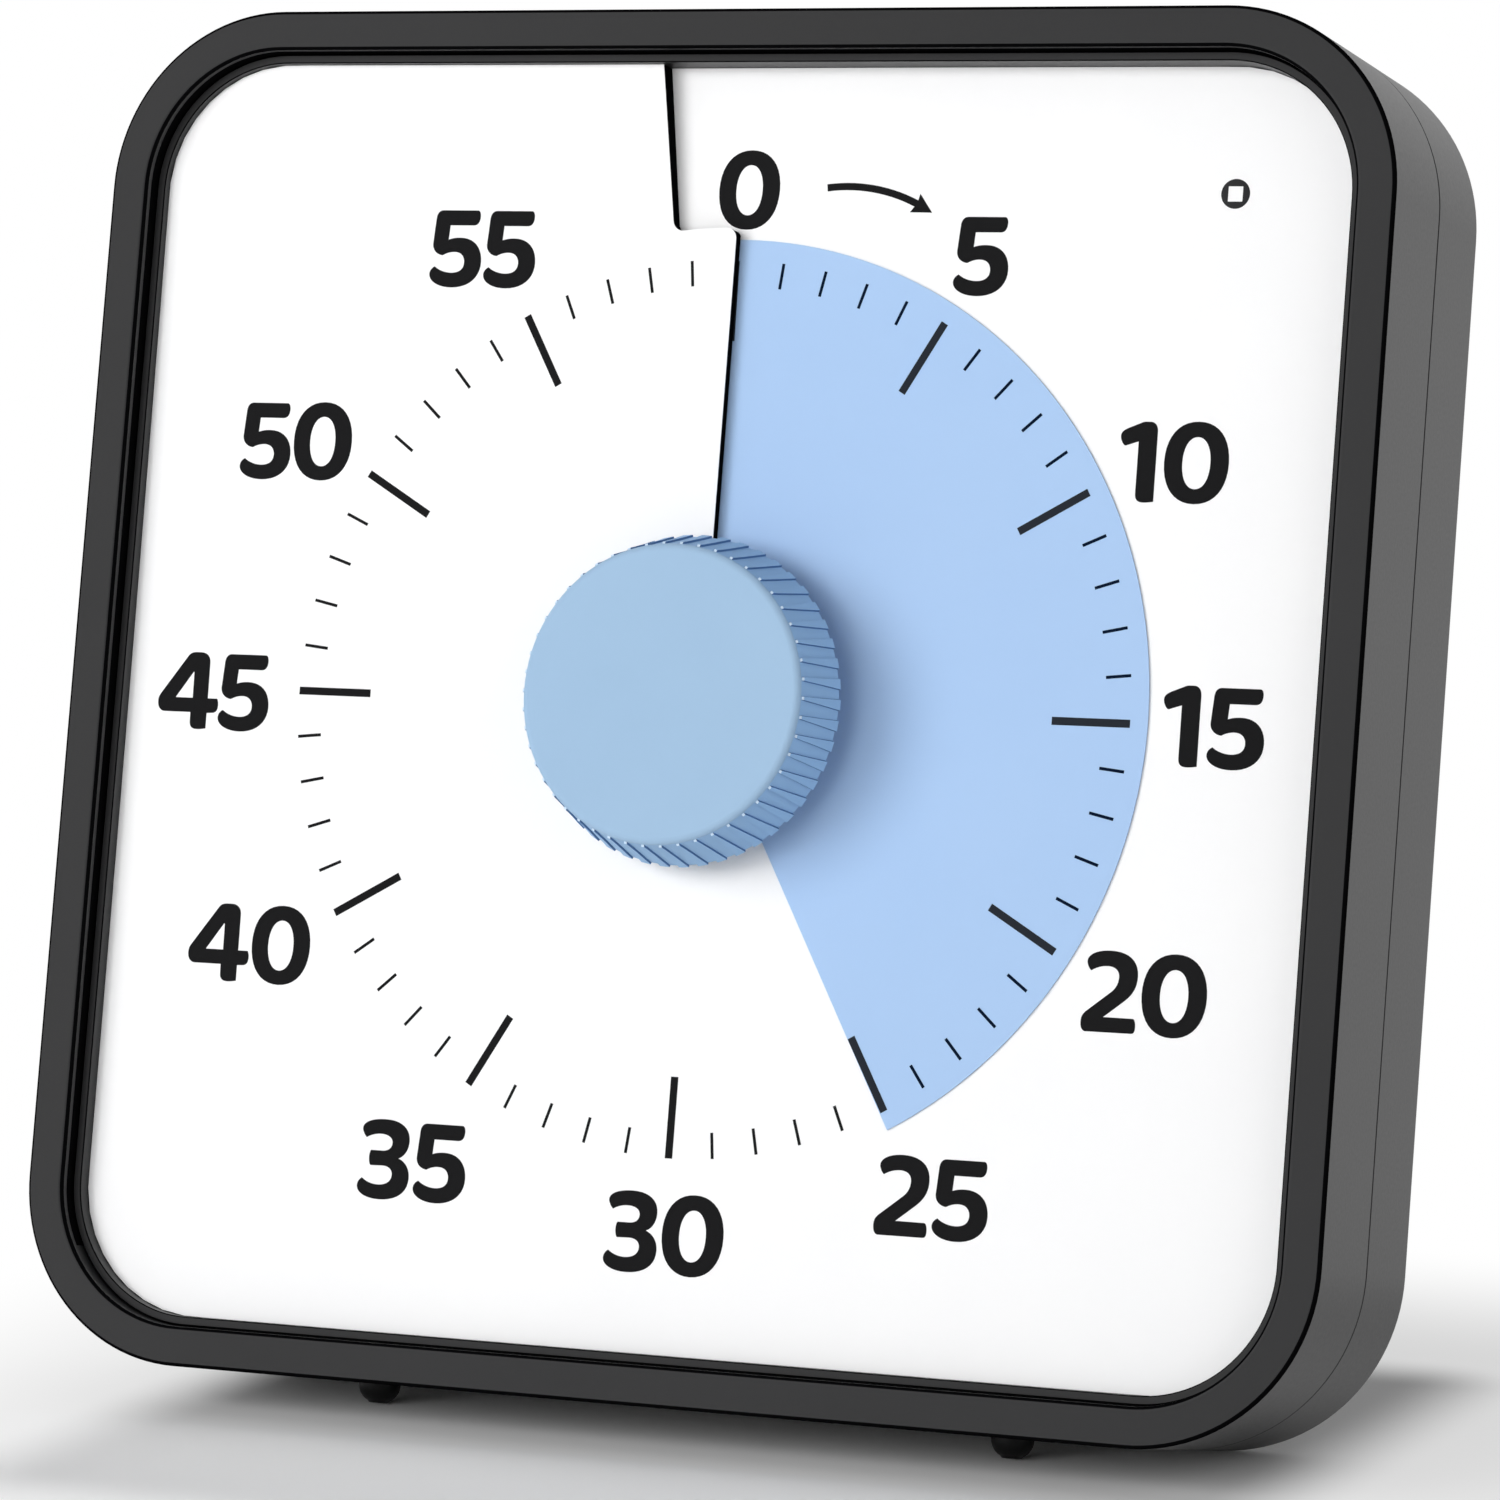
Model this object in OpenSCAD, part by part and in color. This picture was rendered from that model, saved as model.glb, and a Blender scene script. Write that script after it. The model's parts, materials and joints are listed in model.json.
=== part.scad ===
// Square sixty-minute countdown timer that stands leaning back on two pegs, its rear
// edge and a fold-out foot. All sizes are in millimetres.
// Every module below is drawn with the case lying on its back: X to the right, Y up the
// dial and Z out of the dial, with the back face at Z = 0. stand_up() then tips the case
// on to its feet, with the front towards -Y and the floor at Z = 0.

/* [Case] */
// Width of the case
case_w = 190; // [170:1:240]
// Height of the case
case_h = 190; // [170:1:240]
// Depth from the bezel face to the back face
case_d = 38; // [34:0.5:60]
// Outer corner radius
corner_r = 25; // [20:0.5:40]
// Wall thickness of both shells
wall = 2.5; // [2:0.1:3.5]
// Depth of the front shell, from the bezel face to the parting line
front_d = 19.4; // [17:0.1:24]
// Radius of the bezel's outer edge
edge_r = 0.6; // [0.6:0.1:2]
// Radius of the rear edge
rear_edge_r = 2; // [1:0.1:3]

/* [Bezel] */
// Width of the bezel face, out to the side of the case
bezel_w = 5.5; // [4.6:0.1:8]
// Radius of the bezel's inner edge
lip_r = 0.7; // [0.4:0.1:1.2]
// Depth of the trim ring's face below the bezel face
recess_d = 2.8; // [2:0.1:3.2]
// Width of the shadow gap between the bezel and the trim ring
ring_gap = 0.2; // [0.2:0.05:0.8]
// Width of the trim ring's face
ring_w = 1; // [0.8:0.1:3]

/* [Dial] */
// Depth of the middle of the dial below the bezel face
dial_depth = 5.45; // [5.2:0.05:6]
// Rise of the dial in one turn, inside the radius where it starts to grow
dial_rise = 2.0; // [1.8:0.05:2.4]
// Radius from which the rise grows in proportion
rise_r = 61.35; // [40:0.5:90]
// Thickness of the dial plate
dial_t = 0.8; // [0.6:0.05:1]
// Radius of the dial plate's centre hole
dial_hole_r = 9.6; // [9.4:0.1:12]
// Radius at which the slit jogs sideways
slit_r = 65.5; // [65.5:0.5:72]
// Angle between the inner slit and the outer slit
slit_jog = 8.2; // [4:0.1:12]
// Side clearance of the dial plate in the trim ring
dial_fit = 0.1; // [0.05:0.05:0.3]

/* [Disc and knob] */
// Radius of the coloured disc
disc_r = 64.1; // [40:0.1:64.5]
// Thickness of the coloured disc
disc_t = 0.35; // [0.3:0.05:0.5]
// Gap between the disc and the dial in front of which it runs
disc_gap = 0.45; // [0.3:0.05:0.6]
// Minutes that show at rest
rest_minutes = 25; // [5:1:55]
// Angle left open by the disc's own slit
disc_slit = 4; // [2:0.5:8]
// Radius of the disc's hub
hub_r = 9; // [7.5:0.1:9.2]
// Length of the disc's hub
hub_l = 5.8; // [5.4:0.1:6]
// Radius of the knob's skirt between the ribs, at its base
knob_base_r = 22.3; // [16:0.05:26]
// Radius of the knob's front face
knob_face_r = 19.3; // [14:0.1:24]
// Height of the knob in front of the bezel face
knob_h = 9.15; // [7:0.05:16]
// Ribs round the knob
knob_ribs = 50; // [24:1:56]
// Height of a rib above the skirt
rib_h = 0.28; // [0.15:0.01:0.6]
// Width of a rib at its blunt end under the face
rib_end_w = 0.42; // [0.2:0.02:0.8]
// Width of a rib at the knob's base
rib_base_w = 1.45; // [0.5:0.05:1.6]
// Radius of the spindle
spindle_r = 3; // [2.5:0.1:3.5]

/* [Feet] */
// Height of the pegs under the case
foot_h = 3.05; // [2:0.05:6]
// Radius of a peg where it meets the case
foot_r = 2.9; // [2:0.1:4]
// Radius of a peg's flat tip
foot_tip_r = 1.3; // [0.8:0.1:2]
// Distance of each peg from the middle
foot_x = 47.3; // [30:1:70]

/* [Rear] */
// Width of the fold-out foot
stand_w = 60; // [40:1:80]
// Length of the fold-out foot, from its hinge to the middle of its round end
stand_l = 38; // [30:1:42]
// Thickness of the fold-out foot
stand_t = 3.5; // [3:0.1:4]
// Radius of the round head opening in the wall hanger
hanger_r = 4; // [3:0.1:5]
// Width of the hanger's narrow slot
hanger_slot = 4; // [3:0.1:5]
// Distance of the hanger from the top of the case
hanger_inset = 14; // [12:1:20]

/* [Power and sound] */
// Radius of a battery cell
cell_r = 7.25; // [5.2:0.05:7.25]
// Length of a battery cell with its button
cell_l = 50.5; // [44:0.5:50.5]
// Radius of the sounder
sounder_r = 12; // [8:0.5:13]
// Radius of the signal lamp's holder
lamp_r = 2.05; // [1.5:0.05:3]

/* [Hidden] */

$fn = 96;
eps = 0.01;

// Clearances
run_fit = 0.05;      // a turning shaft in its bore, on the radius
slip = 0.1;          // a part let into another
drop_in = 0.3;       // a loose part in its pocket

// Lean of the case on its pegs and its rear edge
peg_run = case_d - rear_edge_r - front_d - foot_tip_r;
peg_drop = foot_h + rear_edge_r;
lean = atan2(peg_drop, peg_run) - asin(rear_edge_r / norm([peg_run, peg_drop]));
floor_z = (front_d + foot_tip_r) * sin(lean) + (case_h / 2 + foot_h) * cos(lean);

// Fold-out foot: hinge place, opening angle on to the floor, and the pocket it folds into
stand_y = -case_h / 2 + 13;
stand_z = 2.8;
barrel_r = 2.6;
pin_r = 1.25;
tip_drop = floor_z - stand_t / 2 + stand_y * cos(lean) - (case_d - stand_z) * sin(lean);
stand_open = acos(-tip_drop / stand_l) - lean;
pocket_d = 5.8;
pocket_low = stand_y - barrel_r - 0.2;
pocket_high = stand_y + stand_l + stand_t / 2 + 0.6;
pocket_w = stand_w + 2 * 0.8;
notch_r = 11;
stop_y = stand_y - stand_z * tan(stand_open - 90) - stand_t / 2 / cos(stand_open - 90) - 0.25;

// Middle of the standing timer, front to back
front_y = edge_r * cos(lean) - (case_h / 2 - edge_r) * sin(lean) - edge_r;
tip_depth = case_d - stand_z + stand_l * sin(stand_open);
tip_height = stand_y + stand_l * cos(stand_open);
rear_y = tip_depth * cos(lean) + tip_height * sin(lean) + stand_t / 2;
middle_y = (front_y + rear_y) / 2;

// Plan of the case: half sizes, and the middles of the corner arcs
half_w = case_w / 2;
half_h = case_h / 2;
arc_x = half_w - corner_r;
arc_y = half_h - corner_r;

// Heights above the back face
bezel_z = case_d;
split_z = case_d - front_d;
ring_z = case_d - recess_d;
bar_d = 8.6;                          // depth of the bezel's solid bar
bar_z = case_d - bar_d;
ring_foot_t = 1;
chassis_z = bar_z - ring_foot_t;      // front of the chassis plate
chassis_t = 1.8;
chassis_back_z = chassis_z - chassis_t;

// Distances in from the side of the case
lip_in = bezel_w;
ring_out_in = bezel_w + ring_gap;
ring_in_in = ring_out_in + ring_w;
dial_in = ring_in_in + dial_fit;

// Disc and hub
hub_front_z = case_d - 2.2;
key_w = 1.2;
key_h = 0.8;
knob_base_z = case_d + 0.1;
knob_face_z = case_d + knob_h;
knob_edge_r = 1.1;
knob_bore_l = 7;

// Movement
move_w = 60;
move_r = 3;
move_wall = 1.5;
move_front_z = chassis_back_z;
move_split_z = move_front_z - 6.6;
move_back_z = move_front_z - 15.2;
gear_m = 0.5;
out_teeth = 60;
idler_teeth = 50;
pinion_teeth = 10;
idler_dir = -45;
rotor_dir = 197;
idler_dist = gear_m * (out_teeth + pinion_teeth) / 2;
rotor_dist = gear_m * (idler_teeth + pinion_teeth) / 2;
idler_at = idler_dist * [cos(idler_dir), sin(idler_dir)];
rotor_at = idler_at + rotor_dist * [cos(rotor_dir), sin(rotor_dir)];
pivot_r = 0.8;
out_z = move_front_z - 4.6;           // back of the output wheel
out_t = 1.6;
idler_z = out_z - 2.4;                // back of the idler's wheel
idler_t = 1.2;
magnet_z = idler_z - 4.2;
magnet_t = 2.4;
magnet_r = 3.2;
stator_t = 0.9;
stator_gap = 0.6;
stator_z = magnet_z + (magnet_t - stator_t) / 2;
coil_x = 15;                          // half the distance between the stator's feet
coil_r = 2.4;
flange_r = coil_r + 0.3;
coil_y = -(move_w / 2 - move_wall - flange_r - 0.1);
coil_z = stator_z - stator_t / 2;     // axis of the coil and its core
core_w = 2;
core_hub_r = 1.6;

// Case screws, pegs' and board's places
screw_at = [arc_x + 13.2, arc_y + 13.2];
boss_r = 4.4;
screw_r = 1.4;
head_r = 2.9;
head_h = 2;
head_sink = 3;
push_at = [half_w - 11, half_h - 24];
peg_neck_r = 1.6;
peg_flange_r = 2.6;
peg_flange_t = 1.2;

// Signal lamp on the dial, and the board behind it
lamp_at = [half_w - 24.3, half_h - 24.1];
board_t = 1.6;
board_z = chassis_back_z - 1.2;       // front of the board
board_x = [38, lamp_at[0] + 3.8];
board_y = [8, lamp_at[1] + 3.8];
board_holes = [[board_x[0] + 4, board_y[0] + 4], [board_x[1] - 4, board_y[0] + 4],
  [board_x[0] + 4, board_y[1] - 4]];
lamp_size = 2;
lamp_t = 0.7;
lead_r = 0.6;

// Battery bay
bay_wall = 1.5;
bay_x = cell_l / 2 + 4.4;
bay_low = half_h - 62;
bay_y = [bay_low, bay_low + 4 * cell_r + 1.6];
bay_mid = (bay_y[0] + bay_y[1]) / 2;
cell_z = 1.8 + 0.6 + cell_r;
bay_z = cell_z + cell_r + 0.4;
door_t = 1.8;
door_lap = 1.4;
cell_gap = 2 * cell_r + 0.5;
cell_shift = 1.0;                     // towards the button's contact plate
tongue_in = [3.2, 1.9];               // faces of the door's tongue, in from the door's edge
tongue_off = bay_y[1] + door_lap - slip - tongue_in[0] - bay_mid - cell_gap / 2 - drop_in;
tongue_z = min(door_t + 3, cell_z - sqrt(cell_r * cell_r - tongue_off * tongue_off));

// Sounder and slide switch on the back wall
sounder_at = [56, 34];
sounder_h = 6.4;
switch_at = [-56, 44];
switch_travel = 3;
slot_w = 2 * switch_travel + 3;
slot_h = 2.8;
hanger_at = [0, half_h - hanger_inset];

function arc(r, a0, a1, n, c) = [for (i = [0:n]) let (a = a0 + (a1 - a0) * i / n)
  c + r * [cos(a), sin(a)]];

// ---- shared shapes ------------------------------------------------------------------

module stand_up() {
  translate([0, -middle_y, floor_z]) rotate([90 - lean, 0, 0]) translate([0, 0, -case_d])
    children();
}

// Rounded plan of the case, drawn in from its side by the given distance
module plan(inset) {
  r = corner_r - inset;
  square([2 * (half_w - inset), 2 * arc_y], center = true);
  square([2 * arc_x, 2 * (half_h - inset)], center = true);
  for (x = [-arc_x, arc_x]) for (y = [-arc_y, arc_y]) translate([x, y]) circle(r = r);
}

module plan_block(inset, z0, z1) {
  translate([0, 0, z0]) linear_extrude(z1 - z0) plan(inset);
}

// Carries a profile round the plan of the case. In the profile X is the distance from
// the middle of a corner's arc, and Y is the height above the back.
module sweep_plan() {
  for (c = [[arc_x, arc_y, 0], [-arc_x, arc_y, 90], [-arc_x, -arc_y, 180],
      [arc_x, -arc_y, 270]])
    translate([c[0], c[1], 0]) rotate(c[2]) rotate_extrude(angle = 90) children();
  for (s = [[0, arc_x, arc_y], [90, arc_y, arc_x], [180, arc_x, arc_y],
      [270, arc_y, arc_x]])
    rotate(s[0]) translate([s[1], s[2], 0]) rotate([90, 0, 0]) linear_extrude(2 * s[2])
      children();
}

// From the middle and the half width, the two ends of a span
function span(mid, half) = [mid - half, mid + half];

module block(x, y, z) {
  translate([x[0], y[0], z[0]]) cube([x[1] - x[0], y[1] - y[0], z[1] - z[0]]);
}

module rod(at, r, z0, z1) {
  translate([at[0], at[1], z0]) cylinder(r = r, h = z1 - z0);
}

module four(at) {
  for (x = [-1, 1]) for (y = [-1, 1]) translate([x * at[0], y * at[1], 0]) children();
}

// ---- shells -------------------------------------------------------------------------

// Side wall, solid bar behind the bezel face, and the rounded edges of both
module front_case() {
  u_out = corner_r;
  u_in = corner_r - wall;
  u_lip = corner_r - lip_in;
  color("#3e3e3e") difference() {
    union() {
      sweep_plan() polygon(concat(
        [[u_out, split_z]],
        arc(edge_r, 0, 90, 5, [u_out - edge_r, bezel_z - edge_r]),
        arc(lip_r, 90, 180, 4, [u_lip + lip_r, bezel_z - lip_r]),
        [[u_lip, bar_z], [u_in, bar_z], [u_in, split_z]]));
      four(screw_at) intersection() {
        rod([0, 0], boss_r, split_z, chassis_z - eps);
        translate([-screw_at[0], -screw_at[1], 0]) plan_block(wall / 2, split_z, bar_z);
      }
    }
    four(screw_at) rod([0, 0], screw_r + run_fit, split_z - 1, chassis_z - 1.5);
    for (x = [-foot_x, foot_x]) peg_seat(x);
  }
}

// Tray with the back wall, the battery bay, the foot's pocket and the screw posts
module rear_case() {
  u_out = corner_r;
  u_in = corner_r - wall;
  rim = 1.2;
  rim_h = 2;
  color("#3e3e3e") difference() {
    union() {
      sweep_plan() polygon(concat(
        arc(rear_edge_r, -90, 0, 5, [u_out - rear_edge_r, rear_edge_r]),
        [[u_out, split_z - eps], [u_in - slip, split_z - eps],
          [u_in - slip, split_z + rim_h], [u_in - slip - rim, split_z + rim_h],
          [u_in - slip - rim, 0]]));
      plan_block(wall + rim, 0, wall);
      four(screw_at) rod([0, 0], boss_r + 0.4, wall - eps, split_z - eps);
      for (x = [-push_at[0], push_at[0]])
        rod([x, 0], 3, wall - eps, chassis_back_z - eps);
      for (y = [-push_at[1], push_at[1]])
        rod([-28, y], 3, wall - eps, chassis_back_z - eps);
      block([-bay_x - bay_wall, bay_x + bay_wall],
        [bay_y[0] - bay_wall, bay_y[1] + bay_wall], [wall - eps, bay_z + bay_wall]);
      block([-pocket_w / 2 - 3, pocket_w / 2 + 3], [-half_h + wall / 2, pocket_high + 2],
        [wall - eps, pocket_d + 2]);
      rod([0, pocket_high], notch_r + 2, wall - eps, pocket_d + 2);
      rod(sounder_at, sounder_r + 1.5, wall - eps, wall + 3);
      block(span(hanger_at[0], 8), span(hanger_at[1] - 3.5, 9), [wall - eps, wall + 1.5]);
    }
    // battery bay and the seat of its door
    block([-bay_x, bay_x], bay_y, [-1, bay_z]);
    block([-bay_x - door_lap, bay_x + door_lap],
      [bay_y[0] - door_lap, bay_y[1] + door_lap], [-1, door_t + slip]);
    // pocket of the fold-out foot, its finger notch and its pin
    block([-pocket_w / 2, pocket_w / 2], [pocket_low, pocket_high], [-1, pocket_d]);
    rod([0, pocket_high], notch_r, -1, 3.4);
    stand_pin_shape(0.02);
    // screws, sounder and its sound holes
    four(screw_at) {
      rod([0, 0], screw_r + 0.3, -1, split_z + 1);
      rod([0, 0], head_r + drop_in, -1, head_sink);
      rod([0, 0], boss_r + slip, split_z - eps, split_z + rim_h + 1);
    }
    rod(sounder_at, sounder_r + slip, wall, wall + 4);
    rod(sounder_at, 1, -1, wall + 1);
    for (ring = [1, 2]) for (i = [0:6 * ring - 1])
      rod(sounder_at + 3.6 * ring * [cos(60 * i / ring), sin(60 * i / ring)], 1, -1,
        wall + 1);
    // slide switch: thumb recess and slot
    block(span(switch_at[0], 9), span(switch_at[1], 4.5), [-1, 1.5]);
    block(span(switch_at[0], slot_w / 2), span(switch_at[1], slot_h / 2), [-1, wall + 1]);
    // wall hanger
    rod(hanger_at - [0, 8], hanger_r, -1, wall + 3);
    rod(hanger_at, hanger_slot / 2, -1, wall + 3);
    block(span(hanger_at[0], hanger_slot / 2), span(hanger_at[1] - 4, 4), [-1, wall + 3]);
    for (x = [-foot_x, foot_x]) peg_seat(x);
  }
  // lip that the opened foot rests on
  color("#3e3e3e") block([-pocket_w / 2 - eps, pocket_w / 2 + eps],
    [pocket_low - 1, stop_y], [0.2, 0.8]);
}

// Trim ring between the bezel and the dial, with its foot under the bezel's bar
module trim_ring() {
  u_out = corner_r - ring_out_in;
  u_in = corner_r - ring_in_in;
  u_foot = corner_r - wall - slip;
  edge = 0.15;
  color("#3e3e3e") sweep_plan() polygon([
    [u_in, ring_z - edge], [u_in + edge, ring_z], [u_out - edge, ring_z],
    [u_out, ring_z - edge], [u_out, bar_z - slip / 2], [u_foot, bar_z - slip / 2],
    [u_foot, chassis_z], [u_in, chassis_z]]);
}

// ---- dial ---------------------------------------------------------------------------

// Height of the dial's front at a clock angle and a radius: a ramp that rises towards
// the viewer all the way round from the slit
function dial_z(a, r) = case_d - dial_depth + dial_rise * max(1, r / rise_r) * (a / 360 - 0.5);
// Height of the moving disc's front: the same ramp, a gap higher, at any angle
function disc_z(a) = case_d - dial_depth + dial_rise * (a / 360 - 0.5) + disc_gap + disc_t;
function clock(a, r) = [r * sin(a), r * cos(a)];

// Distance from the middle to the rounded edge of the dial, along a clock angle
function dial_edge(a) =
  let (
    x = half_w - dial_in, y = half_h - dial_in, r = corner_r - dial_in,
    s = abs(sin(a)), c = abs(cos(a)),
    flat = min(s > eps ? x / s : 1e6, c > eps ? y / c : 1e6),
    dot = arc_x * s + arc_y * c,
    round = dot + sqrt(max(0, dot * dot - arc_x * arc_x - arc_y * arc_y + r * r)))
  (flat * s > arc_x && flat * c > arc_y) ? round : flat;

// Solid sheet between two surfaces, from a grid of columns and rows. Cells are the
// grid squares that exist; edges are the walls round them, as pairs of grid points.
function grid_id(i, j, rows) = i * rows + j;

step_a = 3;
in_angles = [for (a = [0:step_a:360]) a];
out_angles = concat([-slit_jog], in_angles);
plate_angles = concat([-slit_jog], [for (a = [0:step_a:360 - slit_jog]) a],
  [360 - slit_jog], [for (a = [step_a * ceil((360 - slit_jog) / step_a):step_a:360]) a]);
plate_rows = 5;
function plate_r(a, j) = j == 0 ? dial_hole_r : j == 1 ? min(rise_r, slit_r - 2)
  : j == 2 ? slit_r : j == 3 ? (slit_r + dial_edge(a)) / 2 : dial_edge(a);

module dial_plate() {
  n = len(plate_angles);
  rows = plate_rows;
  cut = [for (i = [0:n - 1]) if (abs(plate_angles[i] - (360 - slit_jog)) < eps) i][0];
  front = [for (a = plate_angles) for (j = [0:rows - 1]) let (r = plate_r(a, j), p = clock(a, r))
    [p[0], p[1], dial_z(a, r)]];
  back = [for (p = front) [p[0], p[1], p[2] - dial_t]];
  m = n * rows;
  // squares inside the slit radius run from 0 to 360, and those outside it from the jog
  cells = concat(
    [for (i = [1:n - 2]) for (j = [0:1]) [i, j]],
    [for (i = [0:cut - 1]) for (j = [2:rows - 2]) [i, j]]);
  id = function (i, j) grid_id(i, j, rows);
  loop = concat(
    [for (i = [1:n - 1]) id(i, 0)],
    [id(n - 1, 1), id(n - 1, 2)],
    [for (i = [n - 2:-1:cut]) id(i, 2)],
    [for (j = [3:rows - 1]) id(cut, j)],
    [for (i = [cut - 1:-1:0]) id(i, rows - 1)],
    [for (j = [rows - 2:-1:2]) id(0, j)],
    [id(1, 2), id(1, 1)]);
  color("#fafafa") difference() {
    polyhedron(points = concat(front, back), faces = concat(
      [for (c = cells) [id(c[0], c[1]), id(c[0] + 1, c[1]), id(c[0], c[1] + 1)]],
      [for (c = cells) [id(c[0] + 1, c[1]), id(c[0] + 1, c[1] + 1), id(c[0], c[1] + 1)]],
      [for (c = cells) [m + id(c[0], c[1]), m + id(c[0], c[1] + 1), m + id(c[0] + 1, c[1])]],
      [for (c = cells) [m + id(c[0] + 1, c[1]), m + id(c[0], c[1] + 1),
        m + id(c[0] + 1, c[1] + 1)]],
      [for (k = [0:len(loop) - 1]) let (p = loop[k], q = loop[(k + 1) % len(loop)])
        [p, m + p, q]],
      [for (k = [0:len(loop) - 1]) let (p = loop[k], q = loop[(k + 1) % len(loop)])
        [q, m + p, m + q]]));
    rod(lamp_at, lamp_r + slip, 0, case_d);
  }
}

// Leaf of one turn less its slit, on the same ramp as the dial
module colour_disc() {
  last = 6 * rest_minutes + 0.5;
  span = 360 - disc_slit;
  n = ceil(span / step_a);
  radii = [hub_r + run_fit, disc_r];
  front = [for (i = [0:n]) for (r = radii) let (a = last - span * i / n, p = clock(a, r))
    [p[0], p[1], disc_z(a)]];
  m = len(front);
  back = [for (p = front) [p[0], p[1], p[2] - disc_t]];
  color("#aeccef") polyhedron(points = concat(front, back), faces = concat(
    [for (i = [0:n - 1]) [2 * i, 2 * i + 1, 2 * i + 3, 2 * i + 2]],
    [for (i = [0:n - 1]) [m + 2 * i, m + 2 * i + 2, m + 2 * i + 3, m + 2 * i + 1]],
    [for (i = [0:n - 1]) [2 * i, 2 * i + 2, m + 2 * i + 2, m + 2 * i]],
    [for (i = [0:n - 1]) [2 * i + 1, m + 2 * i + 1, m + 2 * i + 3, 2 * i + 3]],
    [[0, m, m + 1, 1], [2 * n, 2 * n + 1, m + 2 * n + 1, m + 2 * n]]));
}

// Sleeve that carries the disc and slides on the spindle's key
module disc_hub() {
  color("#aeccef") difference() {
    rod([0, 0], hub_r, hub_front_z - hub_l, hub_front_z);
    rod([0, 0], spindle_r + run_fit, 0, case_d);
    block([0, spindle_r + key_h + slip], [-key_w / 2 - run_fit, key_w / 2 + run_fit],
      [0, case_d]);
  }
}

// Tapered knob with ribs, a rounded front edge and a blind bore
module knob() {
  boss = 6;
  color("#a6c8e5") difference() {
    union() {
      rotate_extrude() polygon(concat(
        [[0, knob_base_z], [knob_base_r, knob_base_z]],
        arc(knob_edge_r, 0, 90, 6, [knob_face_r, knob_face_z - knob_edge_r]),
        [[0, knob_face_z]]));
      rod([0, 0], boss, knob_base_z - 0.7, knob_base_z + 1);
      for (i = [0:knob_ribs - 1]) rotate(360 * i / knob_ribs) knob_rib();
    }
    rod([0, 0], spindle_r + 0.02, 0, knob_base_z + knob_bore_l);
  }
}

// Raised wedge down the knob's tapered side, blunt under the face and wider at the base
module knob_rib() {
  side = knob_base_r - knob_face_r - knob_edge_r;
  rise = knob_face_z - knob_edge_r - knob_base_z;
  tilt = atan2(side, rise);
  root = 0.3;
  foot = root * tan(tilt) + 0.1;
  top = norm([side, rise]) - 0.1;
  translate([knob_base_r, 0, knob_base_z]) rotate([0, -tilt, 0]) translate([-root, 0, 0])
    rotate([90, 0, 90]) linear_extrude(root + rib_h)
    polygon([[-rib_base_w / 2, foot], [rib_base_w / 2, foot],
      [rib_end_w / 2, top], [-rib_end_w / 2, top]]);
}

// Shaft from the knob to the back of the movement, with its key and its clutch collar
module spindle() {
  color("#c8c8cc") {
    rod([0, 0], spindle_r, move_back_z + 1, knob_base_z + knob_bore_l - 0.1);
    block([spindle_r - 0.3, spindle_r + key_h], [-key_w / 2, key_w / 2],
      [hub_front_z - hub_l - 0.9, hub_front_z + 1.4]);
    rod([0, 0], 4.2, out_z - 2.2, out_z - 1.2);
  }
}

// ---- chassis and movement -----------------------------------------------------------

// Plate behind the dial that carries the movement and the board, with the dial's posts
module chassis_plate() {
  posts = [for (a = [22.5:45:337.5]) clock(a, 78)];
  color("#8a8d90") {
    difference() {
      union() {
        plan_block(wall + 2 * slip, chassis_back_z, chassis_z);
        for (p = concat(posts, [[-74, 74], [74, -74], [-74, -74]]))
          dial_post(p);
        for (p = board_holes) rod(p, 2.2, board_z, chassis_z);
      }
      rod([0, 0], 5.2, 0, case_d);
      rod(lamp_at, lamp_r + 0.25, 0, case_d);
      four(screw_at) rod([0, 0], boss_r + 0.5, 0, case_d);
      for (p = board_holes) rod(p, 0.9, 0, chassis_z - 0.6);
      for (s = [-1, 1]) rod(s * [24.2, 24.2], 0.9, 0, chassis_z - 0.4);
    }
  }
}

module dial_post(p) {
  a = (atan2(p[0], p[1]) + 360) % 360;
  rod(p, 2.2, chassis_z - eps, dial_z(a, norm(p)) - dial_t - run_fit);
}

module move_plan(inset) {
  offset_r = move_r - inset / 2;
  w = move_w / 2 - inset;
  square([2 * (w - offset_r), 2 * w], center = true);
  square([2 * w, 2 * (w - offset_r)], center = true);
  for (x = [-1, 1]) for (y = [-1, 1])
    translate((w - offset_r) * [x, y]) circle(r = offset_r);
}

module move_pivots(r, z0, z1) {
  rod(idler_at, r, z0, z1);
  rod(rotor_at, r, z0, z1);
}

// Front half of the movement's box, with the bushing that goes through the chassis
module movement_front() {
  color("#2f3032") difference() {
    union() {
      difference() {
        translate([0, 0, move_split_z]) linear_extrude(move_front_z - move_split_z)
          move_plan(0);
        translate([0, 0, move_split_z - 1])
          linear_extrude(move_front_z - move_wall - move_split_z + 1) move_plan(move_wall);
      }
      rod([0, 0], 5, move_front_z - eps, move_front_z + chassis_t + 0.4);
      for (s = [-1, 1]) rod(s * [24.2, 24.2], 2.2, move_split_z, move_front_z - 1);
    }
    rod([0, 0], spindle_r + run_fit, 0, case_d);
    move_pivots(pivot_r + run_fit, move_front_z - move_wall - 1, move_front_z - 0.4);
    for (s = [-1, 1]) rod(s * [24.2, 24.2], 1.1, 0, case_d);
  }
}

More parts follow.
